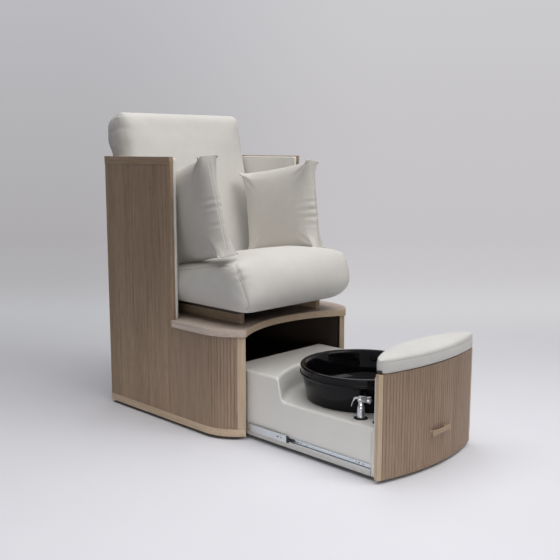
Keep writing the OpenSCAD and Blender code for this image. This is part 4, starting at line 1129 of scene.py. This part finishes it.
runnerLook = {"face": 0.2472, "midFace": 0.2553, "level": 0.046, "screws": (-0.880, -0.640, -0.435, -0.330),
              "slots": ((-0.586, 0.004), (-0.597, 0.006), (-0.611, 0.004), (-0.850, 0.003), (-0.862, 0.006)),
              "midSlots": ((-0.508, 0.012), (-0.524, 0.005), (-0.250, 0.012)), "slotHigh": 0.0042,
              "stop": 0.012, "stopDepth": 0.0011, "shadeStripTall": 0.0013}


def makeRunnerDetails():
    look = runnerLook
    for side, s in (("Left", -1), ("Right", 1)):
        turn = Vector((0, 0, 1)).rotation_difference(Vector((s, 0, 0))).to_matrix().to_4x4()
        mid = "runner_mid_" + side.lower()
        screws, slots, midSlots = bmesh.new(), bmesh.new(), bmesh.new()
        for y in look["screws"]:
            spot = Matrix.Translation((s * look["face"], y, look["level"])) @ turn
            disc(screws, spot @ Matrix.Translation((0, 0, 0.0006)), 0.0037, 0.0026, 0.0012, 20)
            for wide, tall in ((0.0036, 0.0008), (0.0008, 0.0036)):  # the cross of its driver, painted as a thin black cross for the shade in its recess
                bmesh.ops.create_cube(slots, matrix=spot @ Matrix.Translation((0, 0, 0.00125))
                                      @ Matrix.Diagonal((wide, tall, 0.0002, 1)))
        # Painted shade: each slot is a thin black disc laid on the runner's face, for the shade inside the
        # hole.
        for holes, face, places in ((slots, "face", "slots"), (midSlots, "midFace", "midSlots")):
            for y, wide in look[places]:
                spot = Matrix.Translation((s * (look[face] + 0.0001), y, look["level"])) @ turn
                long = Matrix.Diagonal((1, wide / look["slotHigh"], 1, 1))
                disc(holes, spot @ long, look["slotHigh"] / 2, look["slotHigh"] / 2, 0.0003, 20)
        for name, made, skin, slot, body in (("runnerScrews", screws, nickelPlate, "zinc_steel", "drawer"),
                                             ("runnerSlots", slots, blackPlasticAndShade, "black_plastic", "drawer"),
                                             ("runnerMidSlots", midSlots, blackPlasticAndShade, "black_plastic", mid)):
            settle(gathered(name + side, made, skin), body, slot)
        # Painted shade: thin black strips along the inner member's channel stand in for the shadow gaps at
        # its edges.
        low, high = (Vector(c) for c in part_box("runner_inner_" + side.lower()))
        near, far = sorted((s * look["face"], s * (look["face"] + 0.00025)))
        tall = look["shadeStripTall"]
        for letter, z in (("A", low.z + tall), ("B", high.z - 2 * tall)):  # painted shade: dark strips in the channel's corners, where its shadow gaps fall
            line = gridBlock("runnerGrease" + side + letter, (near, low.y + 0.001, z),
                             (far, high.y - 0.001, z + tall), 0.0001, 0.1, blackPlasticAndShade)
            byDrawer(line, "black_plastic")
        low, high = (Vector(c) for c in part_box(mid))
        outer = low.x if s < 0 else high.x
        near, far = sorted((outer, outer - s * look["stopDepth"]))
        stop = gridBlock("runnerStop" + side, (near, low.y - look["stop"], low.z),
                         (far, low.y + 0.0002, high.z), 0.0004, 0.003, blackPlasticAndShade)
        settle(stop, mid, "black_plastic")


catchLook = {"cross": 0.031, "thick": 0.001, "tall": 0.0028, "flare": 30, "lean": 26, "forward": 0.012,
             "out": 0.2534}


def makeCatches():  # the black release lever in each runner, with its crossed finger tabs
    look = catchLook
    half = Vector((look["thick"], look["cross"], look["tall"])) / 2
    for side, s in (("Left", -1), ("Right", 1)):
        body = "release_lever_" + side.lower()
        low, high = (Vector(c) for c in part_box(body))
        bar = gridBlock("catchBar" + side, low, high, 0.0007, 0.004, blackPlasticAndShade)
        settle(bar, body, "black_plastic", body)
        middle = Vector((s * look["out"], low.y + look["forward"], (low.z + high.z) / 2))
        for letter, lean in (("A", look["lean"]), ("B", -look["lean"])):
            turn = Matrix.Rotation(math.radians(lean), 3, "X")

            def flared(p):
                return middle + turn @ Vector((p.x, p.y, p.z * (1 + look["flare"] * abs(p.y))))

            name = "catchTab" + side + letter
            settle(gridBlock(name, -half, half, 0.0003, 0.003, blackPlasticAndShade, flared), body, "black_plastic")


makeDeck()
makeBasin()
makeGrommets()
makeShower()
makeMixer()
makeGrip()
makeRunnerDetails()
makeCatches()
print("drawer fittings made")


# Stage: floor, lamps and camera

stageLook = {"floor": tone(232, 232, 238), "size": 14.0, "ambient": 0.035, "lit": 1.4, "near": 0.3,
             "far": 2.2, "rim": 4.0, "turn": math.radians(45.2), "stand": 3.3, "eye": 1.03, "edge": 96,
             "outside": (0.12, 0.12, 0.12, 1), "air": (0.96, 0.97, 1.0, 1), "mottle": 2.5}
paintedSweepLook = {  # the painted light and shade of the backdrop, from low to high, on its left and on its right
    "left": [(0, tone(196, 197, 201)), (0.1, tone(188, 189, 193)), (0.21, tone(176, 175, 178)),
             (0.33, tone(173, 171, 174)), (0.7, tone(180, 179, 182)), (1, tone(187, 186, 191))],
    "right": [(0, tone(217, 216, 221)), (0.1, tone(211, 211, 213)), (0.21, tone(202, 200, 202)),
              (0.33, tone(197, 195, 197)), (0.7, tone(199, 197, 200)), (1, tone(203, 202, 205))],
    "leftEnd": -0.24, "rightEnd": 0.14, "stretch": 2.5, "level": 0.6,
}


def paintedSweep(g, across, rise):  # a soft sweep of painted light and shade over the backdrop
    look = paintedSweepLook
    height = rise * look["stretch"] + look["level"]
    share = g.fade(across, look["leftEnd"], look["rightEnd"])
    return g.mix(share, g.ramp(height, look["left"]), g.ramp(height, look["right"]))


def shown(g):  # the backdrop is for the camera and for reflections, and throws no light
    camera, glossy, clear = [g.node("ShaderNodeLightPath", output="Is " + kind + " Ray")
                             for kind in ("Camera", "Glossy", "Transmission")]
    return camera.join("MAXIMUM", glossy.join("MAXIMUM", clear))


def measured(g, vector, direction):  # how far a vector reaches in a direction
    return g.node("ShaderNodeVectorMath", {"operation": "DOT_PRODUCT"}, {0: vector, 1: direction}, "Value")


def paleFloor():
    look = stageLook
    g = Graph("paleFloor")
    here = g.node("ShaderNodeTexCoord", output="Object")
    s, c = math.sin(look["turn"]), math.cos(look["turn"])
    ahead = measured(g, here, (s, c, 0))
    depth = (ahead + look["stand"]).join("MAXIMUM", 1.5)
    back = paintedSweep(g, measured(g, here, (c, -s, 0)) / depth, -look["eye"] / depth)
    radius = g.node("ShaderNodeVectorMath", {"operation": "LENGTH"}, {0: here}, "Value")
    far = g.fade(ahead, look["near"], look["far"])
    rim = g.fade(radius, look["rim"] / 2, look["rim"])
    outer = g.fade(radius, look["lit"], look["lit"] * 2)
    mottle = g.noise(here, look["mottle"], 2)
    color = g.ramp(mottle, [(0.3, shaded(look["floor"], 0.985)), (0.7, look["floor"])])
    seen = shown(g)
    unseen = 1 - seen
    color = g.mix(outer * unseen, color, look["outside"])  # the studio is dim beyond the paper
    cloth = g.node("ShaderNodeBsdfDiffuse", {}, {"Color": color})
    # the far floor glows with the backdrop's painted light and shade
    glow = g.node("ShaderNodeEmission", {}, {"Color": back, "Strength": 1.0})
    shader = g.node("ShaderNodeMixShader", {}, {0: far.join("MAXIMUM", rim) * seen, 1: cloth, 2: glow})
    g.node("ShaderNodeOutputMaterial", {}, {"Surface": shader})
    return g.material


def makeStage():
    look = stageLook
    size, edge = look["size"], look["edge"]
    turns = [math.tau * k / edge for k in range(edge)]
    corners = [(size * math.cos(a), size * math.sin(a), 0) for a in turns]
    floor = newPiece("floor", corners, [tuple(range(edge))], paleFloor(), False)
    world = bpy.data.worlds.new("studio")
    bpy.context.scene.world = world
    g = Graph("studio", world)
    here = g.node("ShaderNodeTexCoord", output="Generated")
    s, c = math.sin(look["turn"]), math.cos(look["turn"])
    back = paintedSweep(g, measured(g, here, (c, -s, 0)), measured(g, here, (0, 0, 1)))
    seen = shown(g)
    light = g.node("ShaderNodeBackground", {}, {"Color": look["air"], "Strength": look["ambient"]})
    # the backdrop seen by the camera carries the same painted light and shade
    paper = g.node("ShaderNodeBackground", {}, {"Color": back, "Strength": 1.0})
    mixed = g.node("ShaderNodeMixShader", {}, {0: seen, 1: light, 2: paper})
    g.node("ShaderNodeOutputWorld", {}, {"Surface": mixed})


def lamp(name, spot, target, size, power, color=(1, 1, 1), spread=180, mirrored=True):
    data = bpy.data.lights.new(name, "AREA")
    data.spread = math.radians(spread)
    data.shape = "RECTANGLE"
    data.size, data.size_y = size
    data.energy = power
    data.color = color
    thing = linked(name, data)
    thing.location = spot
    thing.rotation_euler = (Vector(target) - Vector(spot)).to_track_quat("-Z", "Y").to_euler()
    thing.visible_camera = False
    thing.visible_glossy = mirrored


def makeCamera():
    view = {"place": (-2.226, -2.450, 1.030), "down": 8.96, "turn": -45.16, "lens": 53.65, "shift": 0.0107}
    data = bpy.data.cameras.new("camera")
    data.lens = view["lens"]
    data.shift_x = view["shift"]
    camera = linked("camera", data)
    camera.location = view["place"]
    camera.rotation_euler = (math.radians(90 - view["down"]), 0, math.radians(view["turn"]))
    bpy.context.scene.camera = camera


makeStage()
lamp("softboxFront", (0.6, -3.2, 3.2), (0, -0.3, 0.3), (2.6, 2.2), 50, (1, 0.99, 0.97))
lamp("softboxTop", (-0.2, -0.8, 3.8), (-0.2, -0.8, 0), (4.4, 4.4), 138, mirrored=False)
lamp("lowCard", (-1.9, -1.7, 0.3), (-0.25, -0.5, -0.1), (1.8, 0.3), 1.2, (1, 0.99, 0.98), 40)
makeCamera()
bpy.context.scene.view_settings.view_transform = "Standard"
print("stage set")
